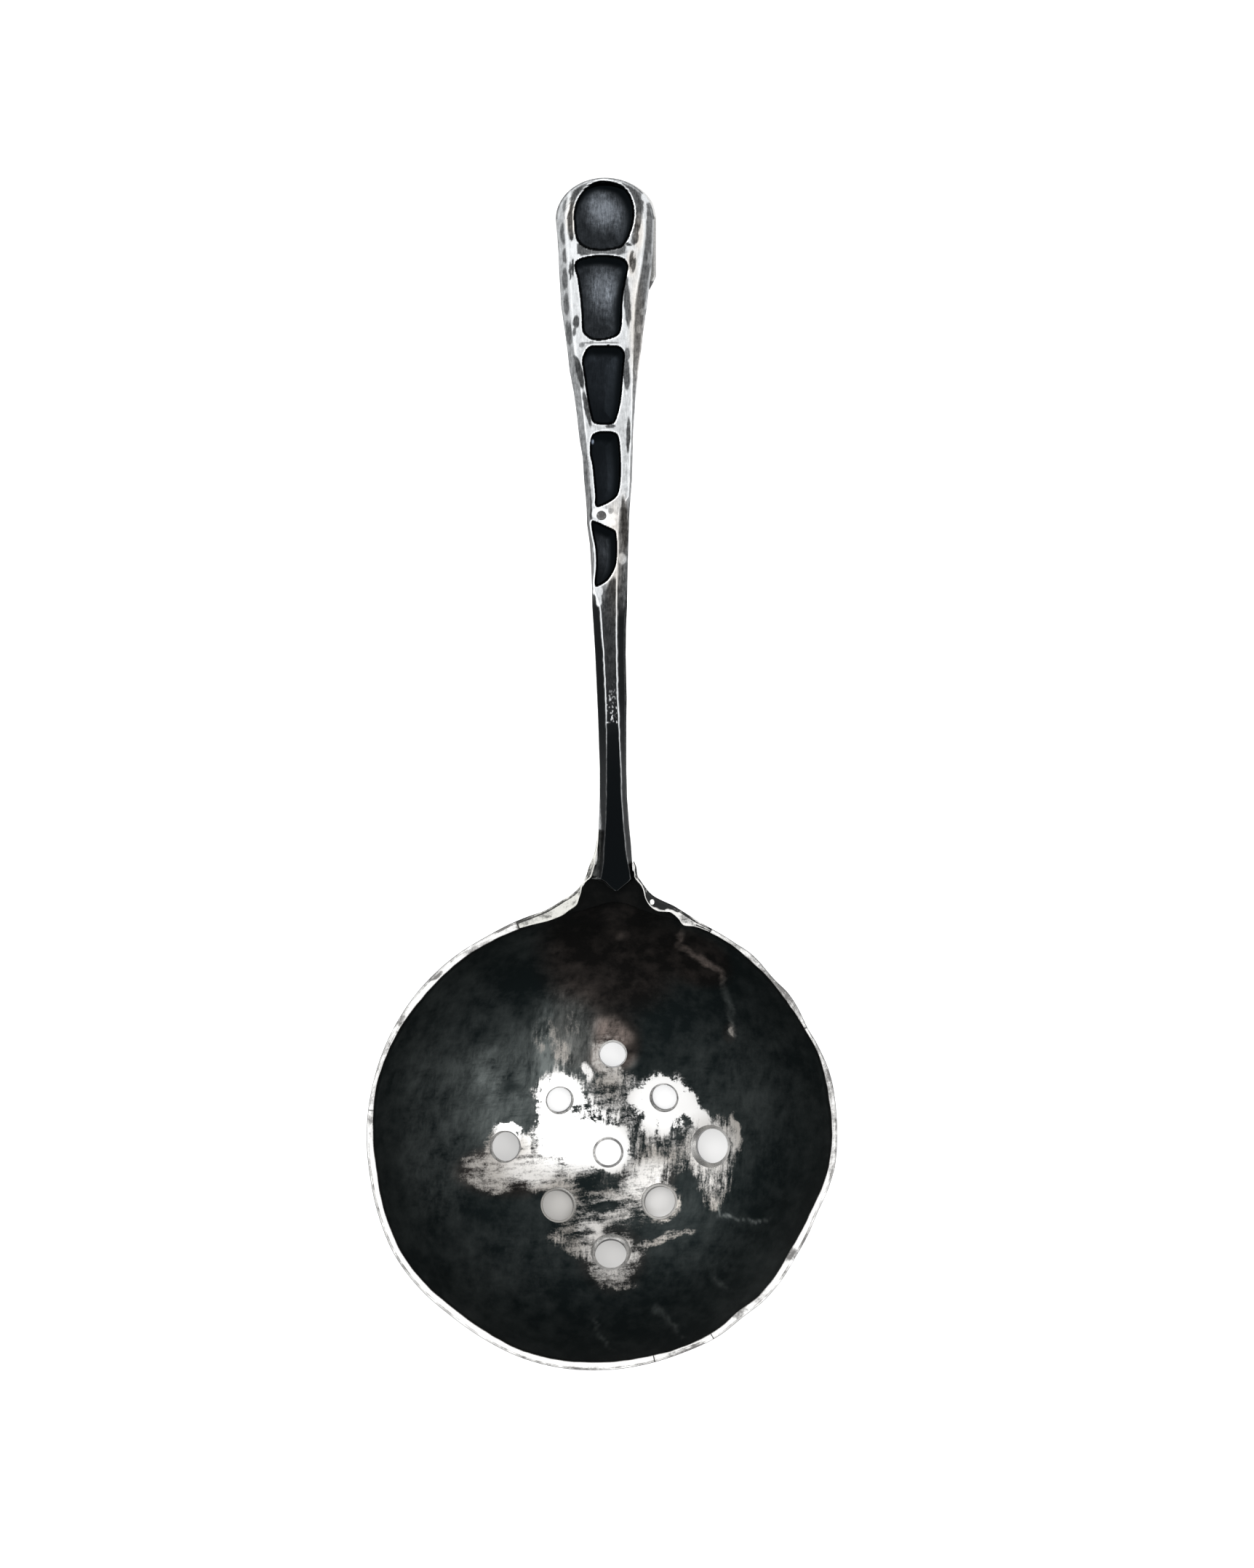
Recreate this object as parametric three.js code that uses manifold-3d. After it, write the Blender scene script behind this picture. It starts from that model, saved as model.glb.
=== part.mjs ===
// Bar strainer: a raised round bowl with nine drilled holes, a bright rim laid on
// its edge in five lengths, and a faceted handle with five carved cells. A strap
// soldered under the end of the handle is bent back as a hook. The strainer lies
// as on a table, on the flat under its bowl and on the return of the hook.
// Millimetres, +Z up, +Y along the handle, +X to the right seen from above.

import * as THREE from 'three';
import { mergeVertices } from 'three/addons/utils/BufferGeometryUtils.js';
import Module from 'manifold-3d';

const wasm = await Module();
wasm.setup();

const { degToRad, lerp, clamp } = THREE.MathUtils;

// Clearances
const fitGap = 0.3;          // between curved or cut faces of neighbouring pieces
const pinGap = 0.1;          // round a pin in its hole

// Bowl
const mouthRadius = 34.9;    // inside of the edge
const bowlDepth = 19.5;      // edge plane down to the inside of the bottom
const floorWall = 1.4;
const edgeWall = 1.05;       // the wall thins towards the edge, as a raised bowl's does
const baseFlatRadius = 6.5;  // planished flat that the bowl stands on
const bottomDrift = new THREE.Vector2(0.9, -2.7);   // deepest point, off the mouth's middle
const bowlSegments = 72;

// Where the mouth is hammered out of round: azimuth and spread in degrees, and the
// push as a share of the mouth's radius
const pushes = [
  { azimuth: 40, spread: 14, push: -0.006 },
  { azimuth: 116, spread: 14, push: -0.027 },
  { azimuth: 176, spread: 12, push: 0.0115 },
  { azimuth: 213, spread: 13, push: 0.0215 },
  { azimuth: 252, spread: 7, push: 0.01 },
  { azimuth: 308, spread: 4.5, push: -0.016 },
  { azimuth: 328, spread: 7, push: -0.03 },
];

// Holes: pattern steps and drift from the deepest point, and each hole's diameter
const holePitch = 7.8;
const countersink = 0.55;
const holes = [
  { steps: [0, 2], drift: [0.7, -0.5], diameter: 4.3 },
  { steps: [-1, 1], drift: [0.4, 0.3], diameter: 4.3 },
  { steps: [1, 1], drift: [0.7, 0.5], diameter: 4.2 },
  { steps: [-2, 0], drift: [0.1, 0.9], diameter: 4.9 },
  { steps: [0, 0], drift: [0, 0], diameter: 4.6 },
  { steps: [2, 0], drift: [0.1, 1.0], diameter: 5.6 },
  { steps: [-1, -1], drift: [0.1, -0.2], diameter: 5.5 },
  { steps: [1, -1], drift: [0, 0.3], diameter: 5.2 },
  { steps: [0, -2], drift: [0.4, 0.3], diameter: 5.5 },
];

// Rim: a bar with a filed outer chamfer, in lengths that meet on radial joints
const rimWidth = 1.2;
const rimHeight = 1.2;
const rimChamfer = 0.45;
const stationStep = 5;       // degrees between sections along the rim
const leftButt = 112;        // azimuths of the joints
const rightButt = 62;
const rimJoints = { left: 174, bottom: 283, bottomRight: 298.6, right: 27.7 };

// Shoulders: the rim swept up to the handle. Each row is an azimuth, and how far the
// inside and the outside stand out from where the rim's would be, in rim widths
const shoulderHeight = 1.9;
const leftShoulderRows = [
  [leftButt, 0, 0], [105, -0.4, -0.25], [100, -0.33, 0.3], [97.2, 0.5, 0.85],
  [95.4, 1.4, 1.6], [93.6, 2.65, 3.0], [92.6, 3.6, 4.4],
];
const rightShoulderRows = [
  [rightButt, 0, 0], [67, -0.1, -0.1], [72, 0.25, 0.35], [76.3, 0.15, 0.85],
  [78.5, 0.55, 1.3], [79.7, 1.55, 1.75], [81.3, 2.75, 2.65], [82.6, 3.6, 3.85], [83.2, 4, 4.85],
];

// Tab: the bowl's own metal, drawn out beneath the root of the handle
const tabThickness = 1.3;
const tabLap = 7.4;          // how far it runs under the handle
const tabHalfWidth = 1.7;

// Handle
const neckOut = 4.2;         // from the mouth to the seam at the handle's root
const handleLength = 107.5;  // seam to tip
const tongueReach = 1.9;     // the pointed tongue runs this far past the seam
const tongueHalfWidth = 0.6;
const tongueThickness = 1.7;
const tongueLength = 6;      // over which the root thins down to the tongue
const shankRise = 2.6;       // top of the shank over the bowl's edge
const shankDepth = 4.5;
const endThickness = 3.7;    // at the tip, over the hook's seat
const sideFacet = 1.0;       // the ridges stand this far in from the sides
const facetDrop = 1.3;
const facetShare = 0.4;      // but never more than this share of the half width
const bellyFacet = 1.0;      // the same, along the underside
const bellyDrop = 1.1;
const domeLength = 6.4;      // rounded end of the handle
const endHalfWidth = 7.5;
// Half widths along the handle, as shares of the way from the seam to the dome
const widthShares = [0, 0.06, 0.14, 0.28, 0.42, 0.54, 0.67, 0.78, 0.87, 0.935, 1];
const halfWidths = [3.15, 2.6, 2.0, 2.2, 2.4, 3.2, 4.1, 5.3, 6.7, 7.35, endHalfWidth];
const neckOffset = 1.67;     // the handle runs a little right of the bowl's middle
const tipOffset = 0.33;

// Cells, from the tip to the bowl. The walls are what is left at each side, and the
// bridge is what is left before the next cell. Roundness 2 is an arc, 4 is boxy.
const tipWall = 0.7;
const cells = [
  { length: 10.6, bridge: 0.7, left: 2.8, right: 2.8, depth: 1.9, round: [2, 3.6] },
  { length: 13.2, bridge: 0.7, left: 2.6, right: 3.4, depth: 1.8, round: [4, 3] },
  { length: 12.2, bridge: 1.1, left: 1.9, right: 2.0, depth: 1.6, round: [3, 2.4] },
  { length: 11.5, bridge: 2.4, left: 1.5, right: 1.8, depth: 1.4, round: [3, 2.2] },
  { length: 9.6, bridge: 0, left: 0.9, right: 1.5, depth: 1.2, round: [2.6, 2.2] },
];

// Hook: a strap lapped under the handle's end, folded and brought back
const hookHeight = 12;       // overall, and the height of its seat
const strapThickness = 1.8;
const strapLap = 18.5;       // seat, measured back from the tip
const foldOut = 0.15;        // the fold shows this far past the tip
const foldHalfWidth = 2.6;
const returnLength = 15.8;
const returnHalfWidth = 7.2;
const returnSkew = 0.75;     // the return lies this far off to the right
const foldSteps = 12;

// Pins
const shoulderPinRadius = 0.45;
const shoulderPinAzimuth = 77.9;
const shoulderPinOut = 0.9;      // outside the middle of where the rim would run
const shoulderPinDepth = 0.6;    // into the tab
const bridgePinRadius = 0.8;
const bridgePinDepth = 2.2;
const bridgePinShift = -1.1;     // off the handle's middle
const pinProud = 0.1;

// Worked out from the sizes above
const bowlSphere = (mouthRadius ** 2 + bowlDepth ** 2) / (2 * bowlDepth);
const flatAngle = Math.asin(baseFlatRadius / (bowlSphere + floorWall));
const sphereHeight = (bowlSphere + floorWall) * Math.cos(flatAngle);
const edgeHeight = sphereHeight - bowlSphere + bowlDepth;
const seamY = mouthRadius + neckOut;
const tipY = seamY + handleLength;
const domeY = tipY - domeLength;
const tabEndY = seamY + tabLap;
const seatY = tipY - strapLap;
const tipTop = hookHeight + endThickness;

// Surfaces
const metal = (color, roughness) => new THREE.MeshStandardMaterial({
  color, roughness, metalness: 1, flatShading: true,
});
const darkSilver = metal(0x34373a, 0.45);
const brightSilver = metal(0xd2d0cb, 0.28);
const handleSilver = metal(0x6f7275, 0.38);
const paleSilver = metal(0xa9abab, 0.35);

// A geometry as a closed solid that can be cut and joined
function solidOf(geometry) {
  const bare = geometry.clone();
  bare.deleteAttribute('normal');
  bare.deleteAttribute('uv');
  const merged = mergeVertices(bare, 1e-4);
  const triangles = [];
  const corners = merged.index.array;
  for (let i = 0; i < corners.length; i += 3) {
    const [a, b, c] = corners.slice(i, i + 3);
    if (a !== b && b !== c && c !== a) triangles.push(a, b, c);
  }
  return new wasm.Manifold(new wasm.Mesh({
    numProp: 3,
    vertProperties: Float32Array.from(merged.attributes.position.array),
    triVerts: Uint32Array.from(triangles),
  }));
}

function geometryOf(solid) {
  const mesh = solid.getMesh();
  const geometry = new THREE.BufferGeometry();
  geometry.setAttribute('position', new THREE.BufferAttribute(mesh.vertProperties, 3));
  geometry.setIndex(new THREE.BufferAttribute(mesh.triVerts, 1));
  geometry.computeVertexNormals();
  return geometry;
}

// Six times the volume between a triangle and the origin
const wedge = (u, v, w) => u.dot(new THREE.Vector3().crossVectors(v, w));

// A closed body through rings of points, every ring with as many points, its two
// ends closed by a fan round the middle of the first and the last ring
function loft(rings) {
  const count = rings[0].length;
  const points = rings.flat();
  const faces = [];
  for (let ring = 0; ring + 1 < rings.length; ring += 1) {
    for (let i = 0; i < count; i += 1) {
      const a = ring * count + i;
      const b = ring * count + (i + 1) % count;
      faces.push([a, b, b + count], [a, b + count, a + count]);
    }
  }
  const close = (start, forwards) => {
    const middle = new THREE.Vector3();
    for (let i = 0; i < count; i += 1) middle.addScaledVector(points[start + i], 1 / count);
    points.push(middle);
    for (let i = 0; i < count; i += 1) {
      const pair = [start + i, start + (i + 1) % count];
      faces.push([points.length - 1, ...(forwards ? pair : pair.reverse())]);
    }
  };
  close(0, false);
  close((rings.length - 1) * count, true);
  const volume = faces.reduce((sum, [a, b, c]) => sum + wedge(points[a], points[b], points[c]), 0);
  if (volume < 0) faces.forEach((face) => face.reverse());
  const geometry = new THREE.BufferGeometry().setFromPoints(points);
  geometry.setIndex(faces.flat());
  geometry.computeVertexNormals();
  return geometry;
}

function polar(azimuth, radius) {
  const angle = degToRad(azimuth);
  return new THREE.Vector2(radius * Math.cos(angle), radius * Math.sin(angle));
}

// How far the mouth is pushed out of round at an azimuth in degrees
function rimPush(azimuth) {
  return pushes.reduce((sum, { azimuth: at, spread, push }) => {
    const away = THREE.MathUtils.euclideanModulo(azimuth - at + 180, 360) - 180;
    return sum + push * mouthRadius * Math.exp(-((away / spread) ** 2));
  }, 0);
}

// Carries a true round form into the bowl's real one: the bottom drifts off the
// middle, and the mouth is pushed out of round
function hammered(geometry) {
  const position = geometry.attributes.position;
  const point = new THREE.Vector3();
  for (let i = 0; i < position.count; i += 1) {
    point.fromBufferAttribute(position, i);
    const lift = clamp(point.z / edgeHeight, 0, 1);
    const azimuth = THREE.MathUtils.radToDeg(Math.atan2(point.y, point.x));
    const grow = 1 + rimPush(azimuth) * lift ** 2 / mouthRadius;
    position.setXYZ(
      i,
      point.x * grow + bottomDrift.x * (1 - lift),
      point.y * grow + bottomDrift.y * (1 - lift),
      point.z,
    );
  }
  return geometry;
}

// A profile of [radius, height] pairs turned round +Z
function turned(profile, segments) {
  const points = profile.map(([radius, height]) => new THREE.Vector2(radius, height));
  return new THREE.LatheGeometry(points, segments).rotateX(Math.PI / 2);
}

function arcOf(radiusAt, from, to, steps) {
  return Array.from({ length: steps + 1 }, (_, i) => {
    const angle = lerp(from, to, i / steps);
    const radius = radiusAt(i / steps);
    return [radius * Math.sin(angle), sphereHeight - radius * Math.cos(angle)];
  });
}

function bowlShell() {
  const arcSteps = 9;
  const runOut = 1.08;       // the hollow's arc runs on past the edge, so that it cuts through
  const outerAngle = Math.acos((sphereHeight - edgeHeight) / (bowlSphere + edgeWall));
  const innerAngle = Math.asin(mouthRadius / bowlSphere);
  const wallAt = (share) => bowlSphere + lerp(floorWall, edgeWall, share);
  const outside = arcOf(wallAt, flatAngle, outerAngle, arcSteps);
  const inside = arcOf(() => bowlSphere, 0, innerAngle, arcSteps);
  const [[lipX, lipZ]] = arcOf(() => bowlSphere, innerAngle * runOut, innerAngle, 1);
  const body = turned([[0, 0], ...outside, [0, edgeHeight]], bowlSegments);
  const hollow = turned([...inside, [lipX, lipZ], [0, lipZ]], bowlSegments);
  return { body: solidOf(hammered(body)), hollow: solidOf(hammered(hollow)) };
}

// A drill with a countersink above it, standing on its tip along +Z
function drill(diameter) {
  const radius = diameter / 2;
  const reach = 4 * floorWall;
  return turned([
    [0, -reach], [radius, -reach], [radius, -countersink / 2],
    [radius + countersink, countersink / 2], [radius + countersink, reach], [0, reach],
  ], 20);
}

// Holes stand square to the bowl's surface
function holeCutter({ steps, drift, diameter }) {
  const place = new THREE.Vector3(
    bottomDrift.x + steps[0] * holePitch + drift[0],
    bottomDrift.y + steps[1] * holePitch + drift[1],
    0,
  );
  const centre = new THREE.Vector3(bottomDrift.x, bottomDrift.y, sphereHeight);
  const out = Math.hypot(place.x - centre.x, place.y - centre.y);
  place.z = sphereHeight - Math.sqrt(bowlSphere ** 2 - out ** 2);
  const up = centre.sub(place).normalize();
  const turn = new THREE.Quaternion().setFromUnitVectors(new THREE.Vector3(0, 0, 1), up);
  const matrix = new THREE.Matrix4().compose(place, turn, new THREE.Vector3(1, 1, 1));
  return solidOf(drill(diameter).applyMatrix4(matrix));
}

// Section of the rim or a shoulder at one azimuth, from the inside up and over
function rimSection(azimuth, insideLift, outsideLift, height) {
  const inside = mouthRadius + rimPush(azimuth) + insideLift * rimWidth;
  const outside = mouthRadius + rimPush(azimuth) + (1 + outsideLift) * rimWidth;
  return [
    [inside, 0], [inside, height], [outside - rimChamfer, height],
    [outside, height - rimChamfer], [outside, 0],
  ].map(([radius, rise]) => {
    const { x, y } = polar(azimuth, radius);
    return new THREE.Vector3(x, y, edgeHeight + rise);
  });
}

function rimLength(from, to) {
  const span = THREE.MathUtils.euclideanModulo(to - from, 360);
  const steps = Math.ceil(span / stationStep);
  const rings = Array.from({ length: steps + 1 }, (_, i) => (
    rimSection(from + span * i / steps, 0, 0, rimHeight)
  ));
  return loft(rings);
}

function shoulder(rows) {
  return loft(rows.map(([azimuth, inside, outside], i) => (
    rimSection(azimuth, inside, outside, lerp(rimHeight, shoulderHeight, i / (rows.length - 1)))
  )));
}

// The tab's outline keeps just inside the shoulders that it carries
function tabOutline() {
  const under = ([azimuth, , outside]) => (
    polar(azimuth, mouthRadius + rimPush(azimuth) + (1 + outside) * rimWidth - fitGap)
  );
  const middle = neckOffset;
  return new THREE.Shape([
    new THREE.Vector2(middle + tabHalfWidth, tabEndY),
    ...rightShoulderRows.toReversed().map(under),
    polar(rightButt, mouthRadius - edgeWall),
    polar(90, mouthRadius - edgeWall),
    polar(leftButt, mouthRadius - edgeWall),
    ...leftShoulderRows.map(under),
    new THREE.Vector2(middle - tabHalfWidth, tabEndY),
  ]);
}

function shoulderPinPlace() {
  const radius = mouthRadius + rimWidth / 2 + shoulderPinOut;
  const { x, y } = polar(shoulderPinAzimuth, radius);
  return new THREE.Vector3(x, y, edgeHeight - shoulderPinDepth);
}

function pinGeometry(radius, height) {
  return new THREE.CylinderGeometry(radius, radius, height, 16)
    .rotateX(Math.PI / 2)
    .translate(0, 0, height / 2);
}

function pinHole(radius, place, height) {
  const { x, y, z } = place;
  return solidOf(pinGeometry(radius + pinGap, height).translate(x, y, z));
}

function bowlGeometry() {
  const { body, hollow } = bowlShell();
  const tab = new THREE.ExtrudeGeometry(tabOutline(), { depth: tabThickness, bevelEnabled: false })
    .translate(0, 0, edgeHeight - tabThickness);
  let bowl = body.add(solidOf(tab)).subtract(hollow);
  holes.forEach((hole) => { bowl = bowl.subtract(holeCutter(hole)); });
  bowl = bowl.subtract(pinHole(shoulderPinRadius, shoulderPinPlace(), shoulderHeight));
  return geometryOf(bowl);
}

// Handle: its middle, half width, top and underside at a distance along +Y
const widthCurve = new THREE.CubicInterpolant(widthShares, halfWidths, 1);

function handleMiddle(y) {
  const share = clamp((y - seamY) / handleLength, 0, 1);
  return lerp(neckOffset, tipOffset, THREE.MathUtils.smoothstep(share, 0, 1));
}

function handleHalf(y) {
  if (y <= seamY) {
    return lerp(halfWidths[0], tongueHalfWidth, Math.min(1, (seamY - y) / tongueReach));
  }
  if (y >= domeY) {
    return endHalfWidth * Math.sqrt(Math.max(0, 1 - ((y - domeY) / domeLength) ** 2));
  }
  return widthCurve.evaluate((y - seamY) / (domeY - seamY))[0];
}

function handleTop(y) {
  const line = lerp(edgeHeight + shankRise, tipTop, (y - seamY) / handleLength);
  const thin = 1 - THREE.MathUtils.smoothstep(y, seamY - tongueReach, seamY + tongueLength);
  return lerp(line, edgeHeight + tongueThickness, thin);
}

function handleUnder(y) {
  const share = clamp((y - seamY) / (seatY - seamY), 0, 1);
  return lerp(edgeHeight + shankRise - shankDepth, hookHeight, share);
}

function handleSection(y) {
  const half = handleHalf(y);
  const top = handleTop(y);
  const under = handleUnder(y);
  const ridge = half - Math.min(sideFacet, half * facetShare);
  const belly = half - Math.min(bellyFacet, half * facetShare);
  const right = [
    [belly, under], [half, under + bellyDrop], [half, top - facetDrop], [ridge, top],
  ];
  const left = right.toReversed().map(([x, z]) => [-x, z]);
  return [...right, ...left].map(([x, z]) => new THREE.Vector3(handleMiddle(y) + x, y, z));
}

function handleBar() {
  const shankSteps = 26;
  const domeSteps = 9;
  const tipShare = 0.985;    // the loft stops just short of the point of the dome
  const stations = [seamY - tongueReach];
  for (let i = 0; i <= shankSteps; i += 1) stations.push(lerp(seamY, domeY, i / shankSteps));
  for (let i = 1; i <= domeSteps; i += 1) {
    stations.push(domeY + domeLength * tipShare * Math.sin(Math.PI / 2 * i / domeSteps));
  }
  stations.push(seatY);
  return loft(stations.sort((a, b) => a - b).map(handleSection));
}

// One cell as a dished cutter: its outline at the top, drawn in towards the floor.
// Each layer is how much of the outline is left, and the share of the depth there
const cellLayers = [[1, 0.1], [0.86, 0.62], [0.62, 0.88], [0.3, 1]];
const cutterProud = 1.5;     // the cutter stands this far over the handle's top

function cellCutter({ from, to, left, right, depth, round }) {
  const sideSteps = 10;
  const outline = [];
  const edgeAt = (share, side) => {
    const y = lerp(from, to, share);
    const middle = handleMiddle(y) + (left - right) / 2;
    const reach = handleHalf(Math.min(y, domeY)) - (left + right) / 2;
    const power = share < 0.5 ? round[0] : round[1];
    const full = (1 - Math.abs(2 * share - 1) ** power) ** (1 / power);
    return new THREE.Vector2(middle + side * reach * full, y);
  };
  const shareAt = (i) => (1 - Math.cos(Math.PI * i / sideSteps)) / 2;
  for (let i = 0; i <= sideSteps; i += 1) outline.push(edgeAt(shareAt(i), 1));
  for (let i = sideSteps - 1; i > 0; i -= 1) outline.push(edgeAt(shareAt(i), -1));
  const centre = outline.reduce((sum, point) => sum.add(point), new THREE.Vector2())
    .divideScalar(outline.length);
  const ring = (draw, drop) => outline.map((point) => {
    const { x, y } = centre.clone().lerp(point, draw);
    return new THREE.Vector3(x, y, handleTop(y) - drop);
  });
  const layers = cellLayers.map(([draw, share]) => ring(draw, share * depth));
  return solidOf(loft([ring(1, -cutterProud), ...layers]));
}

// Cells follow each other from the tip
function cellRuns() {
  let from = tipY - tipWall;
  return cells.map((cell) => {
    const run = { ...cell, from, to: from - cell.length };
    from = run.to - cell.bridge;
    return run;
  });
}

function bridgePinPlace() {
  const fourth = cellRuns()[3];
  const y = fourth.to - fourth.bridge / 2;
  return new THREE.Vector3(handleMiddle(y) + bridgePinShift, y, handleTop(y) - bridgePinDepth);
}

function handleGeometry() {
  let bar = solidOf(handleBar());
  const rebateLength = tabLap + tongueReach + 2 * fitGap;
  const rebate = new THREE.BoxGeometry(4 * halfWidths[0], rebateLength, shankDepth * 2)
    .translate(
      neckOffset,
      tabEndY + fitGap - rebateLength / 2,
      edgeHeight - shankDepth,
    );
  bar = bar.subtract(solidOf(rebate));
  cellRuns().forEach((run) => { bar = bar.subtract(cellCutter(run)); });
  return geometryOf(bar.subtract(pinHole(bridgePinRadius, bridgePinPlace(), 2 * bridgePinDepth)));
}

// The strap as a run of cross-sections: seat, fold and return
function hookGeometry() {
  const outer = hookHeight / 2;
  const foldY = tipY + foldOut - outer;
  const section = (y, z, lean, half, middle) => {
    // lean is the way from the outer face to the inner one, as a unit [y, z] pair
    const inner = [y + lean[0] * strapThickness, z + lean[1] * strapThickness];
    return [
      new THREE.Vector3(middle - half, y, z),
      new THREE.Vector3(middle + half, y, z),
      new THREE.Vector3(middle + half, ...inner),
      new THREE.Vector3(middle - half, ...inner),
    ];
  };
  const underHandle = (y) => Math.max(foldHalfWidth, handleHalf(Math.min(y, tipY)) - fitGap);
  const rings = [];
  const seatSteps = 5;
  for (let i = 0; i < seatSteps; i += 1) {
    const y = lerp(seatY, foldY, i / seatSteps);
    rings.push(section(y, hookHeight, [0, -1], underHandle(y), handleMiddle(y)));
  }
  for (let i = 0; i <= foldSteps; i += 1) {
    const angle = Math.PI * i / foldSteps;
    const lean = [-Math.sin(angle), -Math.cos(angle)];
    const y = foldY - lean[0] * outer;
    const back = THREE.MathUtils.smoothstep(angle, Math.PI / 2, Math.PI);
    const half = lerp(underHandle(y), Math.min(underHandle(y), returnHalfWidth), back);
    rings.push(section(y, outer - lean[1] * outer, lean, half, handleMiddle(y) + returnSkew * back));
  }
  const endY = tipY + foldOut - returnLength;
  const middle = handleMiddle(foldY) + returnSkew;
  rings.push(section(endY, 0, [0, 1], returnHalfWidth, middle));
  return loft(rings);
}

// Room for the root of the handle between the shoulders
function rootRoom() {
  const sideAt = (y) => {
    const half = handleHalf(y) + fitGap;
    const low = edgeHeight - fitGap;
    const high = edgeHeight + 2 * shoulderHeight;
    return [[-half, low], [half, low], [half, high], [-half, high]]
      .map(([x, z]) => new THREE.Vector3(handleMiddle(y) + x, y, z));
  };
  const reach = shoulderHeight + tongueLength;
  const steps = 8;
  const ys = Array.from({ length: steps + 1 }, (_, i) => seamY - fitGap + reach * i / steps);
  return solidOf(loft([seamY - tongueReach - fitGap, ...ys].map(sideAt)));
}

function leftShoulderGeometry() {
  return geometryOf(solidOf(shoulder(leftShoulderRows)).subtract(rootRoom()));
}

function rightShoulderGeometry() {
  return geometryOf(solidOf(shoulder(rightShoulderRows))
    .subtract(rootRoom())
    .subtract(pinHole(shoulderPinRadius, shoulderPinPlace(), 2 * shoulderHeight)));
}

// Assembly
const strainer = new THREE.Group();

function place(name, geometry, material, position = new THREE.Vector3()) {
  const mesh = new THREE.Mesh(geometry, material);
  mesh.name = name;
  mesh.position.copy(position);
  strainer.add(mesh);
}

place('bowl', bowlGeometry(), darkSilver);
place('rim_upper_left', rimLength(leftButt, rimJoints.left), brightSilver);
place('rim_lower_left', rimLength(rimJoints.left, rimJoints.bottom), brightSilver);
place('rim_bottom_short', rimLength(rimJoints.bottom, rimJoints.bottomRight), brightSilver);
place('rim_lower_right', rimLength(rimJoints.bottomRight, rimJoints.right), brightSilver);
place('rim_upper_right', rimLength(rimJoints.right, rightButt), brightSilver);
place('left_shoulder', leftShoulderGeometry(), brightSilver);
place('right_shoulder', rightShoulderGeometry(), darkSilver);
place('handle', handleGeometry(), handleSilver);
place('hanging_hook', hookGeometry(), paleSilver);
place(
  'shoulder_pin',
  pinGeometry(shoulderPinRadius, shoulderPinDepth + shoulderHeight + pinProud),
  brightSilver,
  shoulderPinPlace(),
);
place(
  'bridge_pin',
  pinGeometry(bridgePinRadius, bridgePinDepth + pinProud),
  paleSilver,
  bridgePinPlace(),
);

// The origin is on the table, under the middle of the whole strainer
const bounds = new THREE.Box3().setFromObject(strainer);
const middleOfAll = bounds.getCenter(new THREE.Vector3());
strainer.position.set(-middleOfAll.x, -middleOfAll.y, -bounds.min.z);

export default strainer;
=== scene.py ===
# %% [markdown]
# A bar strainer, lying flat and seen from straight above.
#
# The real one is silver that was blackened all over and then rubbed bright: a raised
# bowl with nine drilled holes, a bar of bright metal laid on its edge in five lengths,
# two gussets that sweep up to the handle, a faceted handle with five carved cells, and
# a strap bent back under the handle's end as a hook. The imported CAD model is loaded
# first. It fixes every size, and each piece below stands in for one of its nodes with a
# finer mesh and a finish of its own.

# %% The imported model
import math

import bmesh
import bpy
import numpy as np
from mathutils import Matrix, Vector, noise


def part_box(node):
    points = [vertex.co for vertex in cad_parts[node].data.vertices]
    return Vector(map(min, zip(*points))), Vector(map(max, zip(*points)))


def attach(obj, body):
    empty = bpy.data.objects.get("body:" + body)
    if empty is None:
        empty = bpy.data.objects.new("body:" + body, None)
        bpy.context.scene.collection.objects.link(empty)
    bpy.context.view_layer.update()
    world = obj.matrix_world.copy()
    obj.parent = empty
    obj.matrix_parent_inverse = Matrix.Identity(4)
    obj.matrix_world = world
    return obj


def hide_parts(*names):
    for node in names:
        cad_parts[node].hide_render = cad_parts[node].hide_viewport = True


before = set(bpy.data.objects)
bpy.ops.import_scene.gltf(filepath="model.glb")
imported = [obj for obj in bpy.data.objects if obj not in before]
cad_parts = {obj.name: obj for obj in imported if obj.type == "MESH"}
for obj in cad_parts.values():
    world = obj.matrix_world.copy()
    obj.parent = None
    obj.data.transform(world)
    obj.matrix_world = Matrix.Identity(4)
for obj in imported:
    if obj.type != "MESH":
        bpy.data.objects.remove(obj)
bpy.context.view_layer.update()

# %% [markdown]
# Every size below is in millimetres, measured from the middle of the bowl's mouth: X to
# the right, Y along the handle, Z up from the table. That point is easy to think about,
# because the bowl is round about it, but the model's own origin is elsewhere. The place
# of the shoulder pin, which is known in both, gives the step between the two.

# %% From the middle of the mouth to the model's frame
pin_azimuth, pin_reach = math.radians(77.9), 36.4
pin_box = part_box("shoulder_pin")
pin_middle = 500 * (pin_box[0] + pin_box[1])
mouth = np.array([
    pin_middle.x - pin_reach * math.cos(pin_azimuth),
    pin_middle.y - pin_reach * math.sin(pin_azimuth),
    0.0,
])
edge_height = 1000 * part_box("bowl")[1].z
print("middle of the mouth:", mouth.round(3), "edge of the bowl at", round(edge_height, 2))

# %% [markdown]
# A hand-made piece is full of shapes that fade into each other, so a few helpers come
# first: a soft step from 0 to 1, a soft band and a soft-edged ellipse. The ellipse is
# used as a brush, for worn and dark places in the finish as well as for single marks.

# %% Soft step, band and ellipse
def soft_step(value, low, high):
    share = np.clip((value - low) / (high - low), 0, 1)
    return share * share * (3 - 2 * share)


def over(under, mask, value):
    """The value where the mask is 1, and what lies under it where the mask is 0."""
    return under + (value - under) * mask


def band(x, middle, half, soft=0.6):
    """1 near the middle, and 0 further away than about half."""
    return 1 - soft_step(np.abs(x - middle), half * (1 - soft), half * (1 + soft))


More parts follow.
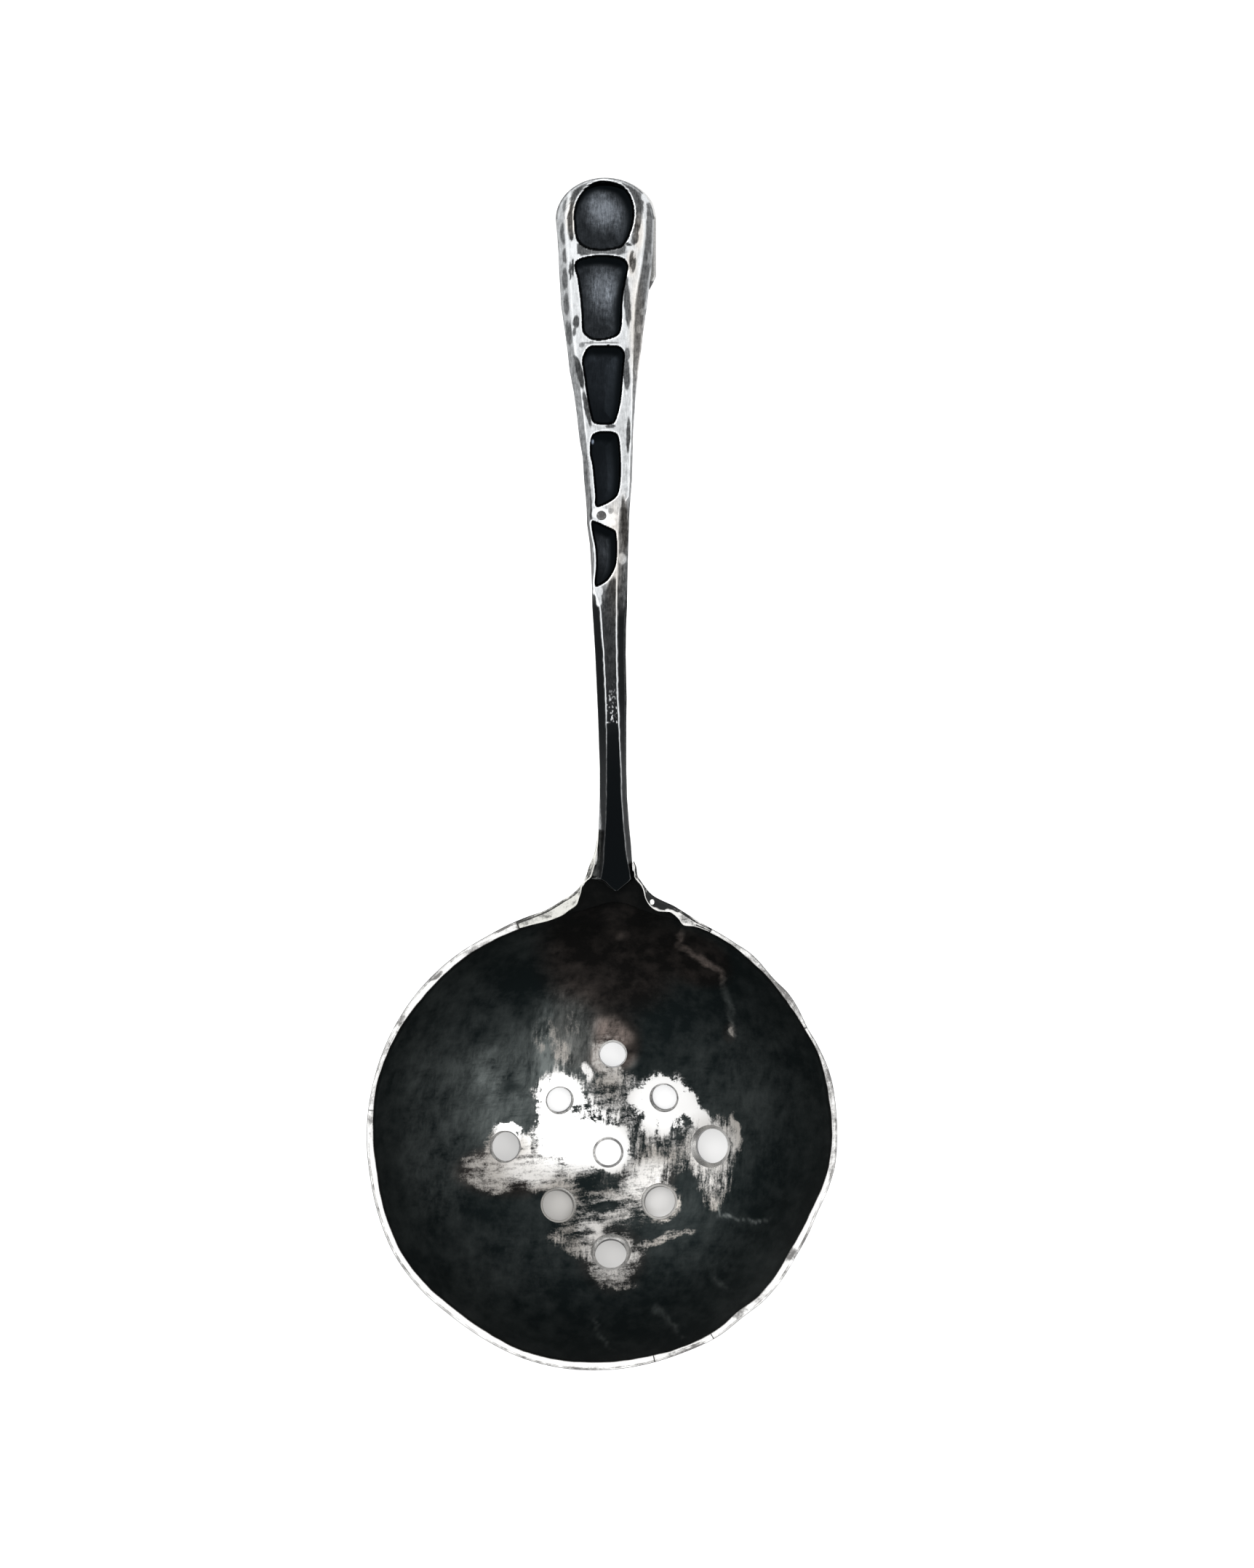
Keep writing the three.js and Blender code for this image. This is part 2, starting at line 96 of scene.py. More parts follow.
def dab(x, y, at, size, turn=0, soft=0.5):
    """1 in the middle of an ellipse, 0 outside it. Soft is the share that fades."""
    angle = math.radians(turn)
    dx, dy = x - at[0], y - at[1]
    along = (dx * math.cos(angle) + dy * math.sin(angle)) / size[0]
    across = (dy * math.cos(angle) - dx * math.sin(angle)) / size[1]
    return 1 - soft_step(np.hypot(along, across), 1 - soft, 1 + soft / 2)


# %% Smooth rows and lines, and uneven metal
def smooth_row(places, values, at):
    """Values between given ones, without corners."""
    places, values = np.asarray(places, float), np.asarray(values, float)
    at = np.clip(at, places[0], places[-1])
    slopes = np.gradient(values, places)
    i = np.clip(np.searchsorted(places, at, side="right") - 1, 0, len(places) - 2)
    gap = places[i + 1] - places[i]
    t = (at - places[i]) / gap
    return (
        (2 * t**3 - 3 * t**2 + 1) * values[i] + (t**3 - 2 * t**2 + t) * gap * slopes[i]
        + (3 * t**2 - 2 * t**3) * values[i + 1] + (t**3 - t**2) * gap * slopes[i + 1]
    )


def smooth_line(points, steps, closed=False):
    """Points on a curve through the given ones, with this many steps between two."""
    points = np.asarray(points, float)
    before, after = 2 * points[:1] - points[1:2], 2 * points[-1:] - points[-2:-1]
    if closed:
        before, after = points[-1:], points[:2]
    padded = np.vstack([before, points, after])
    rows = []
    for a, b, c, d in zip(padded, padded[1:], padded[2:], padded[3:]):
        for t in np.arange(steps) / steps:
            rows.append(0.5 * (2 * b + (c - a) * t + (2 * a - 5 * b + 4 * c - d) * t**2
                               + (3 * b - a - 3 * c + d) * t**3))
    return np.array(rows if closed else [*rows, points[-1]])


def unevenness(points, size, seed=0):
    """Smooth noise between -1 and 1 at points in millimetres, other for each seed."""
    shifted = np.asarray(points, float) / size + 17.3 * seed
    return np.array([noise.noise(Vector(point)) for point in shifted])


# %% [markdown]
# Every piece of this strainer is a bar, a strap or a shell, so one way of making a mesh
# does for all of them: rings of points one after another, joined into four-sided faces
# and closed at both ends. Faces are turned outwards afterwards, and edges sharper than a
# given angle stay crisp while the rest is shaded smooth.

# %% A closed mesh through rings of points
def placed(name, data):
    """A new object in the scene, at the origin."""
    made = bpy.data.objects.new(name, data)
    bpy.context.scene.collection.objects.link(made)
    return made


def lofted(name, rings, crisp=32):
    rows, columns, _ = rings.shape
    row, column = np.meshgrid(np.arange(rows - 1), np.arange(columns), indexing="ij")
    here, beside = row * columns + column, row * columns + (column + 1) % columns
    faces = np.stack([here, beside, beside + columns, here + columns], -1).reshape(-1, 4).tolist()
    faces += [list(range(columns)), list(range((rows - 1) * columns, rows * columns))]
    mesh = bpy.data.meshes.new(name)
    mesh.from_pydata(((rings.reshape(-1, 3) + mouth) / 1000).tolist(), [], faces)
    tidy_mesh(mesh, crisp)
    return placed(name, mesh)


def tidy_mesh(mesh, crisp):
    shape = bmesh.new()
    shape.from_mesh(mesh)
    bmesh.ops.remove_doubles(shape, verts=shape.verts, dist=1e-6)
    bmesh.ops.recalc_face_normals(shape, faces=shape.faces)
    shape.to_mesh(mesh)
    shape.free()
    mesh.polygons.foreach_set("use_smooth", [True] * len(mesh.polygons))
    mesh.set_sharp_from_angle(angle=math.radians(crisp))


# %% Reading, painting and settling a piece
def vectors(piece, which):
    """The places ("co") or the directions ("normal") of a piece's points."""
    numbers = np.empty(len(piece.data.vertices) * 3)
    piece.data.vertices.foreach_get(which, numbers)
    return numbers.reshape(-1, 3)


def spots(piece):
    """A piece's points in millimetres from the middle of the mouth."""
    return vectors(piece, "co") * 1000 - mouth


def paint(piece, layer, values):
    attribute = piece.data.attributes.new(layer, "FLOAT", "POINT")
    attribute.data.foreach_set("value", np.asarray(values, np.float32))


def settle(piece, node, slot, *finishes):
    """The piece takes the node's place, rides with the strainer and gets its finishes."""
    for finish in finishes:
        piece.data.materials.append(finish)
    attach(piece, "root")
    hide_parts(node)
    print(f"{piece.name}: {len(piece.data.polygons)} faces")


# %% [markdown]
# The photograph looks straight down and shows hardly any perspective. A long lens far
# above gives that: the holes in the deep bowl then keep their places. The picture is
# 1724 by 2156, and its height covers 240 mm of the strainer.

# %% Camera
view_height = 0.23996
view_middle = (0.00397, -0.00166)
view_plane = 0.020
camera_reach = 8.0
sensor_width = 36
camera = placed("camera", bpy.data.cameras.new("camera"))
camera.data.sensor_width = sensor_width
camera.data.lens = sensor_width * camera_reach / view_height
camera.data.clip_end = 5 * camera_reach
camera.location = (*view_middle, view_plane + camera_reach)
bpy.context.scene.camera = camera
bpy.context.scene.view_settings.view_transform = "Standard"
print("lens", round(camera.data.lens, 1), "mm")

# %% [markdown]
# Node trees read best as plain sums. The first class below holds one socket and adds a
# Math node for each operation, so that "mask * 0.5 + 0.2" makes two nodes. The second
# holds a tree, and its one method adds any other node: its kind, the values or links of
# its sockets, which output is wanted, and its settings by name. Materials, the world
# and the tree that drills the bowl are all made with these two.

# %% Sockets that can be added and multiplied
def maths(operation, clamp=False, turned=False):
    """A method that adds a Math node of this kind; turned puts the other term first."""
    def method(self, other=0):
        terms = {0: other, 1: self} if turned else {0: self, 1: other}
        return self.tree.add("ShaderNodeMath", terms, operation=operation, use_clamp=clamp)
    return method


class Flow:
    def __init__(self, tree, socket):
        self.tree, self.socket = tree, socket

    __add__ = __radd__ = maths("ADD")
    __mul__ = __rmul__ = maths("MULTIPLY")
    __sub__, __rsub__ = maths("SUBTRACT"), maths("SUBTRACT", turned=True)
    __pow__ = maths("POWER")
    at_least = maths("MAXIMUM")
    clamped = maths("ADD", clamp=True)

    def above(self, low, high):
        """A soft step, from 0 at low to 1 at high."""
        values = {"Value": self, "From Min": low, "From Max": high}
        return self.tree.add("ShaderNodeMapRange", values, interpolation_type="SMOOTHSTEP")


# %% A tree of nodes
class Tree:
    def __init__(self, group):
        self.nodes, self.links = group.nodes, group.links

    def add(self, kind, values=(), out=0, **settings):
        node = self.nodes.new(kind)
        for name, setting in settings.items():
            setattr(node, name, setting)
        for name, value in dict(values).items():
            for term in value if isinstance(value, list) else [value]:
                if isinstance(term, Flow):
                    self.links.new(term.socket, node.inputs[name])
                else:
                    node.inputs[name].default_value = term
        return Flow(self, node.outputs[out]) if node.outputs else None


# %% A finish, and the nodes that it is made of
class Finish(Tree):
    def __init__(self, holder):
        holder.use_nodes = True
        super().__init__(holder.node_tree)
        self.nodes.clear()
        self.holder = holder

    def layer(self, name):
        return self.add("ShaderNodeAttribute", out="Fac", attribute_name=name)

    def millimetres(self):
        """Object coordinates, in millimetres from the middle of the mouth."""
        place = self.add("ShaderNodeTexCoord", out="Object")
        return self.add("ShaderNodeMapping", {
            "Vector": place, "Scale": (1000, 1000, 1000), "Location": (-mouth[0], -mouth[1], 0),
        }, vector_type="POINT")

    def grain(self, place, size, detail=3, stretch=(1, 1, 1), turn=0, rough=0.55):
        """Noise round 0, with marks of this size in millimetres, drawn out and turned."""
        stretched = self.add("ShaderNodeMapping", {
            "Vector": place, "Rotation": (0, 0, math.radians(turn)), "Scale": stretch,
        }, vector_type="TEXTURE")
        return self.add("ShaderNodeTexNoise", {
            "Vector": stretched, "Scale": 1 / size, "Detail": detail, "Roughness": rough,
        }) - 0.5

    def mixed(self, share, first, second):
        return self.add("ShaderNodeMix", {0: share, 6: first, 7: second}, 2, data_type="RGBA")

    def bump(self, height, distance, strength):
        return self.add("ShaderNodeBump", {
            "Height": height, "Distance": distance, "Strength": strength,
        })

    def rays(self):
        """1 for what the camera sees itself, and 1 for what it sees mirrored."""
        seen = self.add("ShaderNodeLightPath", out="Is Camera Ray")
        glossy, through = (Flow(self, seen.socket.node.outputs[name])
                           for name in ("Is Glossy Ray", "Is Transmission Ray"))
        return seen, glossy + through

    def end_as_metal(self, color, roughness, normal):
        shader = self.add("ShaderNodeBsdfPrincipled", {
            "Base Color": color, "Roughness": roughness, "Metallic": 1.0, "Normal": normal,
        })
        self.add("ShaderNodeOutputMaterial", {"Surface": shader})
        return self.holder


# %% [markdown]
# Studio: a pale floor, a pale world and two large soft lamps. Metal has no colour of its
# own but what it reflects, so the world is bright overhead and greyer towards the
# horizon for reflections: flat tops then read bright and slopes darker, as under one big
# soft light. The floor and the world are plain white to the camera.

# %% World
world_light, horizon, brighter_overhead = 1.25, 0.66, 0.38
white = (1, 1, 1, 1)
world = bpy.data.worlds.new("studio")
bpy.context.scene.world = world
sky = Finish(world)
seen, mirrored = sky.rays()
direction = sky.add("ShaderNodeTexCoord", out="Generated")
height = sky.add("ShaderNodeSeparateXYZ", {"Vector": direction}, "Z")
reflected = mirrored * (horizon + brighter_overhead * height.above(-0.05, 0.85))
strength = world_light * (1 - seen - mirrored).at_least(0) + seen + reflected
background = sky.add("ShaderNodeBackground", {"Color": white, "Strength": strength})
sky.add("ShaderNodeOutputWorld", {"Surface": background})


# %% Lamps
def lamp(name, place, size, watts):
    light = bpy.data.lights.new(name, "AREA")
    light.shape, light.size, light.energy = "DISK", size, watts
    made = placed(name, light)
    made.location = place
    made.rotation_euler = (-Vector(place)).to_track_quat("-Z", "Y").to_euler()


lamp("key_lamp", (-0.75, 0.55, 1.1), 0.8, 4)
lamp("fill_lamp", (0.8, -0.4, 1.2), 0.9, 3)

# %% [markdown]
# The floor would be plain white in the holes as well, but there the bowl shades it. Soft
# grey marks under the holes stand for that, each with its place and reach in millimetres
# and its share of the grey.

# %% Floor
floor_half = 4
floor_marks = [
    (-7.2, -64.8, 9, 0.9), (1.6, -72.2, 9, 0.62), (8.8, -64.0, 6, 0.66), (-14.6, -56.0, 7, 0.5),
    (17.4, -56.2, 7, 0.28),
]
floor_grey = (0.31, 0.30, 0.285, 1)
floor_white = (0.8, 0.8, 0.8, 1)
floor_mesh = bpy.data.meshes.new("floor")
floor_mesh.from_pydata([(x * floor_half, y * floor_half, 0)
                        for x, y in ((-1, -1), (1, -1), (1, 1), (-1, 1))], [], [(0, 1, 2, 3)])
floor = placed("floor", floor_mesh)
card = Finish(bpy.data.materials.new("pale_floor"))
seen, mirrored = card.rays()
spot = card.add("ShaderNodeTexCoord", out="Object")
grey = 0
for x, y, reach, share in floor_marks:
    away = card.add("ShaderNodeVectorMath", {0: spot, 1: (x / 1000, y / 1000, 0)}, "Value",
                    operation="DISTANCE")
    grey = grey + (1 - away.above(reach * 0.0005, reach * 0.001)) * share
grey = grey.clamped()
paper = card.add("ShaderNodeBsdfPrincipled", {
    "Base Color": card.mixed(grey, floor_white, floor_grey), "Roughness": 0.9,
    "Specular IOR Level": 0.1, "Emission Color": card.mixed(grey, white, floor_grey),
    "Emission Strength": (seen + mirrored).clamped() * 0.45,
})
card.add("ShaderNodeOutputMaterial", {"Surface": paper})
floor_mesh.materials.append(card.holder)

# %% [markdown]
# Silver finishes. Blackened silver is still metal: it reflects a few parts in a hundred,
# slightly blue or green. Rubbing takes the black off, first from what stands proud. So
# each finish starts from painted layers on the mesh, which say roughly how worn a place
# is, and breaks their edges up with noise of several sizes, so that wear looks patchy and
# scratched and not airbrushed.

# %% The bowl's finish
cold_black, brown_black = (0.0088, 0.0126, 0.0132, 1), (0.0104, 0.0096, 0.0092, 1)
deep_black = (0.0045, 0.0048, 0.0048, 1)
cold_grey, brown_grey = (0.160, 0.178, 0.174, 1), (0.27, 0.222, 0.20, 1)
dull_silver, clean_silver = (0.40, 0.375, 0.345, 1), (0.97, 0.965, 0.955, 1)


def bowl_finish():
    made = Finish(bpy.data.materials.new("blackened_bowl"))
    place = made.millimetres()
    cloud = made.grain(place, 7, 5)
    mottle = made.grain(place, 2.4, 6, rough=0.62)
    smear = made.grain(place, 2.6, 6, (0.55, 2.4, 1), -28, rough=0.62)
    patch = made.grain(place, 2.2, 6, rough=0.7)
    down = made.grain(place, 1.5, 7, (0.45, 3.0, 1), -3, rough=0.70)
    across = made.grain(place, 1.7, 7, (3.4, 0.5, 1), 6, rough=0.70)
    speck = made.grain(place, 0.3, 4, rough=0.75)
    combed = (made.layer("comb") + patch * 2.2).above(0.3, 0.7)
    rub = down * 2.0 * combed + across * 1.5 * (1 - combed)

    # Where it is bare: ragged but crisp where bright, a streaky veil elsewhere
    worn = made.layer("worn")
    bright = made.layer("bright").clamped()
    close = worn.above(0.02, 0.3)
    crisp = (worn + (patch * 1.5 + rub * 0.9 + speck * 0.9) * close).above(0.42, 0.64)
    veil = (worn + (patch * 1.2 + rub * 1.3 + speck * 1.1) * close).above(0.14, 0.92)
    bare = veil + (crisp - veil) * bright.above(0.45, 1.0)

    # What is not bare: near black, mottled, cloudy where it was wiped
    haze = made.layer("haze")
    darkened = (haze * -1).clamped()
    wiped = haze.at_least(0) * (1 + cloud * 1.8 + smear * 2.6 + patch * 1.6 + rub * 1.8)
    mottled = (cloud * 0.34 + mottle * 0.50 + 0.02) * (1 - 0.8 * darkened)
    cloudy = ((wiped + mottled + speck.above(0.16, 0.32) * 0.22) * 0.62).clamped()
    warm = made.layer("warm")
    black = made.mixed(warm.above(0.2, 0.9), cold_black, brown_black)
    black = made.mixed(darkened, black, deep_black)
    grey = made.mixed(warm.above(0.2, 1.0), cold_grey, brown_grey)
    silver = made.mixed(bright, dull_silver, clean_silver)
    color = made.mixed(bare, made.mixed(cloudy, black, grey), silver)
    roughness = 0.46 - 0.12 * bare + patch * 0.2
    normal = made.bump(down * 0.5 + speck * 0.4 + mottle * 0.8, 0.00004, 0.6)
    return made.end_as_metal(color, roughness, normal)


# %% The rim's, the handle's and the strap's finishes
def bright_finish(name, light, dark, scratches):
    """Filed metal, light where its shade layer is low and dark where it is high."""
    made = Finish(bpy.data.materials.new(name))
    place = made.millimetres()
    patch = made.grain(place, 1.6, 5, rough=0.66)
    speck = made.grain(place, 0.3, 3)
    shade = (made.layer("shade") + patch * 1.3 + speck * 0.5).above(0.25, 0.85)
    color = made.mixed(shade, light, dark)
    normal = made.bump(speck + patch, 0.00003, scratches)
    return made.end_as_metal(color, 0.26 + 0.2 * shade, normal)


neutral_tint, warm_tint = (0.94, 0.965, 0.985, 1), (1.0, 0.962, 0.915, 1)
blue_tint = (0.70, 0.82, 1.0, 1)
cold_cell, warm_cell = (0.0030, 0.0040, 0.0048, 1), (0.0052, 0.0048, 0.0043, 1)


def handle_finish():
    made = Finish(bpy.data.materials.new("carved_handle"))
    place = made.millimetres()
    patch = made.grain(place, 0.9, 5, rough=0.66)
    streak = made.grain(place, 0.4, 4, (0.5, 3.4, 1), rough=0.6)
    speck = made.grain(place, 0.2, 3, rough=0.7)
    tone = made.layer("tone")
    steady = 0.7 * tone.above(0.8, 0.95)
    uneven = (patch * 0.42 + streak * 0.46 + speck * 0.2) * tone.above(0.04, 0.35) * (1 - steady)
    level = (tone + uneven).clamped()
    warm = made.layer("warm").above(0.1, 0.9)
    cool = (made.layer("warm") * -1).clamped()
    tint = made.mixed(cool, made.mixed(warm, neutral_tint, warm_tint), blue_tint)
    color = made.mixed(level ** 2.2, made.mixed(warm, cold_cell, warm_cell), tint)
    normal = made.bump(streak * 0.6 + speck * 0.4, 0.00004, 0.5)
    return made.end_as_metal(color, 0.42 - 0.16 * level, normal)


blackened = bowl_finish()
bright = bright_finish("filed_rim", (0.95, 0.945, 0.93, 1), (0.20, 0.195, 0.19, 1), 0.4)
satin = bright_finish("satin_strap", (0.31, 0.31, 0.305, 1), (0.09, 0.09, 0.09, 1), 0.6)
filed = bright_finish("filed_gusset", (0.78, 0.775, 0.73, 1), (0.065, 0.065, 0.062, 1), 0.5)
dusky = bright_finish("dark_gusset", (0.88, 0.87, 0.85, 1), (0.024, 0.025, 0.025, 1), 0.6)
carved = handle_finish()
print("finishes:", [m.name for m in (blackened, bright, satin, filed, dusky, carved)])

# %% [markdown]
# The rim is one idea repeated: a bar along the edge of the bowl, whose width and distance
# from the middle change as the hammer left them. A short table gives both at chosen
# azimuths. The bowl's edge is taken from the same table, so that the bar lies
# on it.

# %% The edge of the mouth: azimuth, inside radius and width of the rim
rim_rows = [
    (-8, 34.95, 0.92), (0, 35.1, 0.8), (5, 35.12, 0.78), (9, 35.08, 0.88), (13, 35.15, 0.86),
    (16.5, 35.2, 0.74), (20, 35.28, 0.48), (24, 35.12, 0.42), (27, 34.95, 0.38),
    (30, 34.88, 0.54), (33, 34.82, 0.78), (37.5, 34.78, 0.9), (42, 34.92, 0.48),
    (45, 34.92, 0.56), (48, 34.9, 0.8), (51, 34.98, 0.8), (55, 35.12, 0.5), (60, 35.05, 0.55),
    (75, 34.6, 0.8), (98, 34.2, 1.1), (112, 33.9, 1.25), (120, 34.1, 0.95), (130, 34.35, 1.0),
    (140, 34.5, 1.1), (155, 35.0, 0.8), (168, 35.3, 0.6), (174, 35.2, 0.75), (182, 35.0, 1.0),
    (190, 34.95, 1.1), (200, 35.3, 1.05), (210, 35.62, 1.05), (220, 35.4, 1.1),
    (230, 34.95, 1.15), (240, 35.0, 1.1), (250, 35.2, 1.06), (260, 35.05, 1.15),
    (270, 34.8, 1.2), (280, 34.65, 1.1), (290, 34.7, 0.85), (300, 34.6, 0.95), (308, 34.1, 1.1),
    (314, 34.35, 1.05), (320, 34.2, 1.1), (328, 33.75, 1.2), (334, 33.8, 1.15),
    (340, 34.0, 0.95), (346, 34.5, 0.95), (352, 34.95, 0.92),
]
rim_azimuths, rim_insides, rim_widths = zip(*rim_rows)


def edge_at(azimuth):
    """Inside and outside radius of the rim at azimuths in degrees."""
    first = rim_azimuths[0]
    turned = (np.asarray(azimuth, float) - first) % 360 + first
    inside = smooth_row(rim_azimuths, rim_insides, turned)
    return inside, inside + smooth_row(rim_azimuths, rim_widths, turned)


# %% [markdown]
# The bowl is a raised round shell, thinner towards its edge, with a small flat to stand
# on. Under the handle's root its metal is drawn out as a tab. Rings of points from the
# flat up the outside, over the edge and down the hollow make the shell; each ring is
# pushed out of round the more the nearer it is to the edge. The tab is a flat plate that
# starts inside the wall.

# %% The shell
bowl_sphere, floor_wall, edge_wall, flat_radius = 40.98, 1.4, 1.05, 6.5
deepest = np.array([0.9, -2.7])
neck_azimuth, neck_spread, neck_flare = 86.5, 6.5, 1.3
round_steps = 400
round_azimuths = np.arange(round_steps) * 360 / round_steps
flat_angle = math.asin(flat_radius / (bowl_sphere + floor_wall))
sphere_height = (bowl_sphere + floor_wall) * math.cos(flat_angle)
inner_end = math.acos((sphere_height - edge_height) / bowl_sphere)
outer_end = math.acos((sphere_height - edge_height) / (bowl_sphere + edge_wall))
print("inside depth", round(edge_height - sphere_height + bowl_sphere, 2))


def flare_at(azimuth):
    """How far the edge is drawn out towards the handle."""
    away = (azimuth - neck_azimuth + 180) % 360 - 180
    return neck_flare * np.exp(-(away / neck_spread) ** 2)


def shell_ring(radius, height, mouth_now, mouth_wanted):
    lift = np.clip(height / edge_height, 0, 1)
    flare = flare_at(round_azimuths) * soft_step(lift, 0.84, 1)
    reach = radius * (1 + (mouth_wanted / mouth_now - 1) * lift**2) + flare
    turn = np.radians(round_azimuths)
    return np.column_stack([
        reach * np.cos(turn) + deepest[0] * (1 - lift),
        reach * np.sin(turn) + deepest[1] * (1 - lift),
        np.full(round_steps, float(height)),
    ])


def shell_rings():
    def on_sphere(sphere, angle, mouth_now, mouth_wanted):
        height = sphere_height - sphere * math.cos(angle)
        return shell_ring(sphere * math.sin(angle), height, mouth_now, mouth_wanted)

    inside, outside = edge_at(round_azimuths)
    inside_now = bowl_sphere * math.sin(inner_end)
    outside_now = (bowl_sphere + edge_wall) * math.sin(outer_end)
    rings = [shell_ring(radius, 0, 1, 1) for radius in (0.2, 3.2, flat_radius)]
    for share in np.linspace(0.03, 1, 30):
        sphere = bowl_sphere + floor_wall + (edge_wall - floor_wall) * share
        angle = flat_angle + (outer_end - flat_angle) * share
        rings.append(on_sphere(sphere, angle, outside_now, outside + 0.06))
    for share in np.linspace(0, 1, 116):
        angle = inner_end * (1 - share) + 0.004 * share
        rings.append(on_sphere(bowl_sphere, angle, inside_now, inside))
    return np.array(rings)


# %% The gussets' outlines, which the tab follows from below
left_inner = [
    (-12.72, 31.48), (-10.9, 32.0), (-8.4, 32.6), (-7.0, 33.1), (-5.9, 33.6), (-5.15, 34.2),
    (-3.95, 35.05), (-3.55, 36.0), (-3.2, 37.1), (-3.0, 38.1), (-2.35, 38.8), (-1.75, 39.3),
    (-1.5, 39.8), (-1.15, 41.0), (-0.9, 42.0), (-0.75, 43.3), (-0.6, 45.0), (-0.56, 46.6),
]
left_outer = [
    (-13.17, 32.6), (-11.5, 33.2), (-9.0, 34.2), (-8.0, 34.7), (-7.0, 35.3), (-5.9, 36.0),
    (-4.9, 36.6), (-4.2, 37.15), (-3.65, 37.7), (-3.3, 38.15), (-2.9, 38.75), (-2.65, 39.2),
    (-2.4, 39.8), (-2.0, 41.1), (-1.6, 42.1), (-1.15, 43.4), (-0.82, 45.1), (-0.62, 46.7),
]
right_inner = [
    (16.45, 30.95), (14.25, 31.75), (12.44, 31.98), (11.6, 33.0), (10.53, 33.89), (9.7, 34.05),
    (8.4, 34.2), (7.3, 34.9), (6.6, 36.0), (6.25, 37.3), (5.8, 38.3), (4.98, 39.2),
    (4.85, 39.9), (4.75, 40.9), (4.6, 41.6),
]
right_outer = [
    (16.75, 31.5), (14.8, 32.6), (13.2, 33.6), (12.1, 34.3), (10.95, 35.0), (10.1, 35.4),
    (8.9, 35.95), (7.9, 36.5), (7.1, 37.2), (6.55, 37.9), (6.05, 38.6), (5.5, 39.45),
    (5.32, 40.1), (5.2, 41.0), (4.85, 41.85),
]


def tab_plate():
    azimuths = np.arange(66, 110, 4)
    turn, reach = np.radians(azimuths), edge_at(azimuths)[0] + 0.15 + flare_at(azimuths)
    arc = np.column_stack([reach * np.cos(turn), reach * np.sin(turn)])
    root = [(3.37, 42.4), (3.37, 46.5), (-0.03, 46.5), (-0.03, 42.0)]
    right, left = np.array(right_outer[1:-2]), np.array(left_outer[1:-4])
    outline = np.vstack([right + (-0.2, -0.3), root, left[::-1] + (0.2, -0.3), arc[::-1]])
    return lofted("tab", np.array([
        np.column_stack([outline, np.full(len(outline), z)])
        for z in (edge_height - 1.3, edge_height - 0.01)
    ]))


# %% [markdown]
# Nine holes are drilled into the bowl and eased with a countersink. They repeat, so
# Geometry Nodes make them: a cylinder and a cone of unit radius are built in the tree,
# set on each point of a small mesh, leant towards the bowl's centre and scaled to the
# width of the hole's own mouth, and all of them are taken away from the shell in one go.
# They carry their own materials, and leave them on the walls that they cut.
#
# Each hole has its steps in a pattern, how far it has drifted from there, the width of
# its mouth, the width of its eased edge, and its lean: 1 is square to the bowl's
# surface, and 0 is straight down.

# %% The holes
millimetre = 0.001
hole_pitch, drill_reach = 7.8, 0.004
holes = [
    ((0, 2), (0.7, -0.9), 4.5, 0.28, 0.45), ((-1, 1), (0.4, 0.0), 4.4, 0.26, 0.8),
    ((1, 1), (0.7, 0.4), 4.5, 0.3, 0.8), ((-2, 0), (0.1, 0.75), 4.9, 0.22, 0.5),
    ((0, 0), (0, -0.15), 4.6, 0.32, 1.0), ((2, 0), (0.1, 0.85), 6.2, 0.45, 1.0),
    ((-1, -1), (0.2, -0.35), 5.35, 0.26, 0.9), ((1, -1), (0, 0.2), 5.4, 0.3, 0.9),
    ((0, -2), (0.4, 0.15), 5.55, 0.36, 1.0),
]


def hole_points():
    steps, drifts, widths, eases, leans = (np.array(column, float) for column in zip(*holes))
    from_deepest = hole_pitch * steps + drifts
    height = sphere_height - np.sqrt(bowl_sphere**2 - (from_deepest**2).sum(axis=1))
    places = np.column_stack([deepest + from_deepest, height])
    square = np.array([*deepest, sphere_height]) - places
    square /= np.linalg.norm(square, axis=1)[:, None]
    ups = square * leans[:, None] + np.array([0, 0, 1]) * (1 - leans[:, None])
    mesh = bpy.data.meshes.new("hole_places")
    mesh.from_pydata(((places + mouth) / 1000).tolist(), [], [])
    mesh.attributes.new("up", "FLOAT_VECTOR", "POINT").data.foreach_set("vector", ups.ravel())
    made = placed("hole_places", mesh)
    paint(made, "mouth_width", widths)
    paint(made, "ease", eases)
    return made


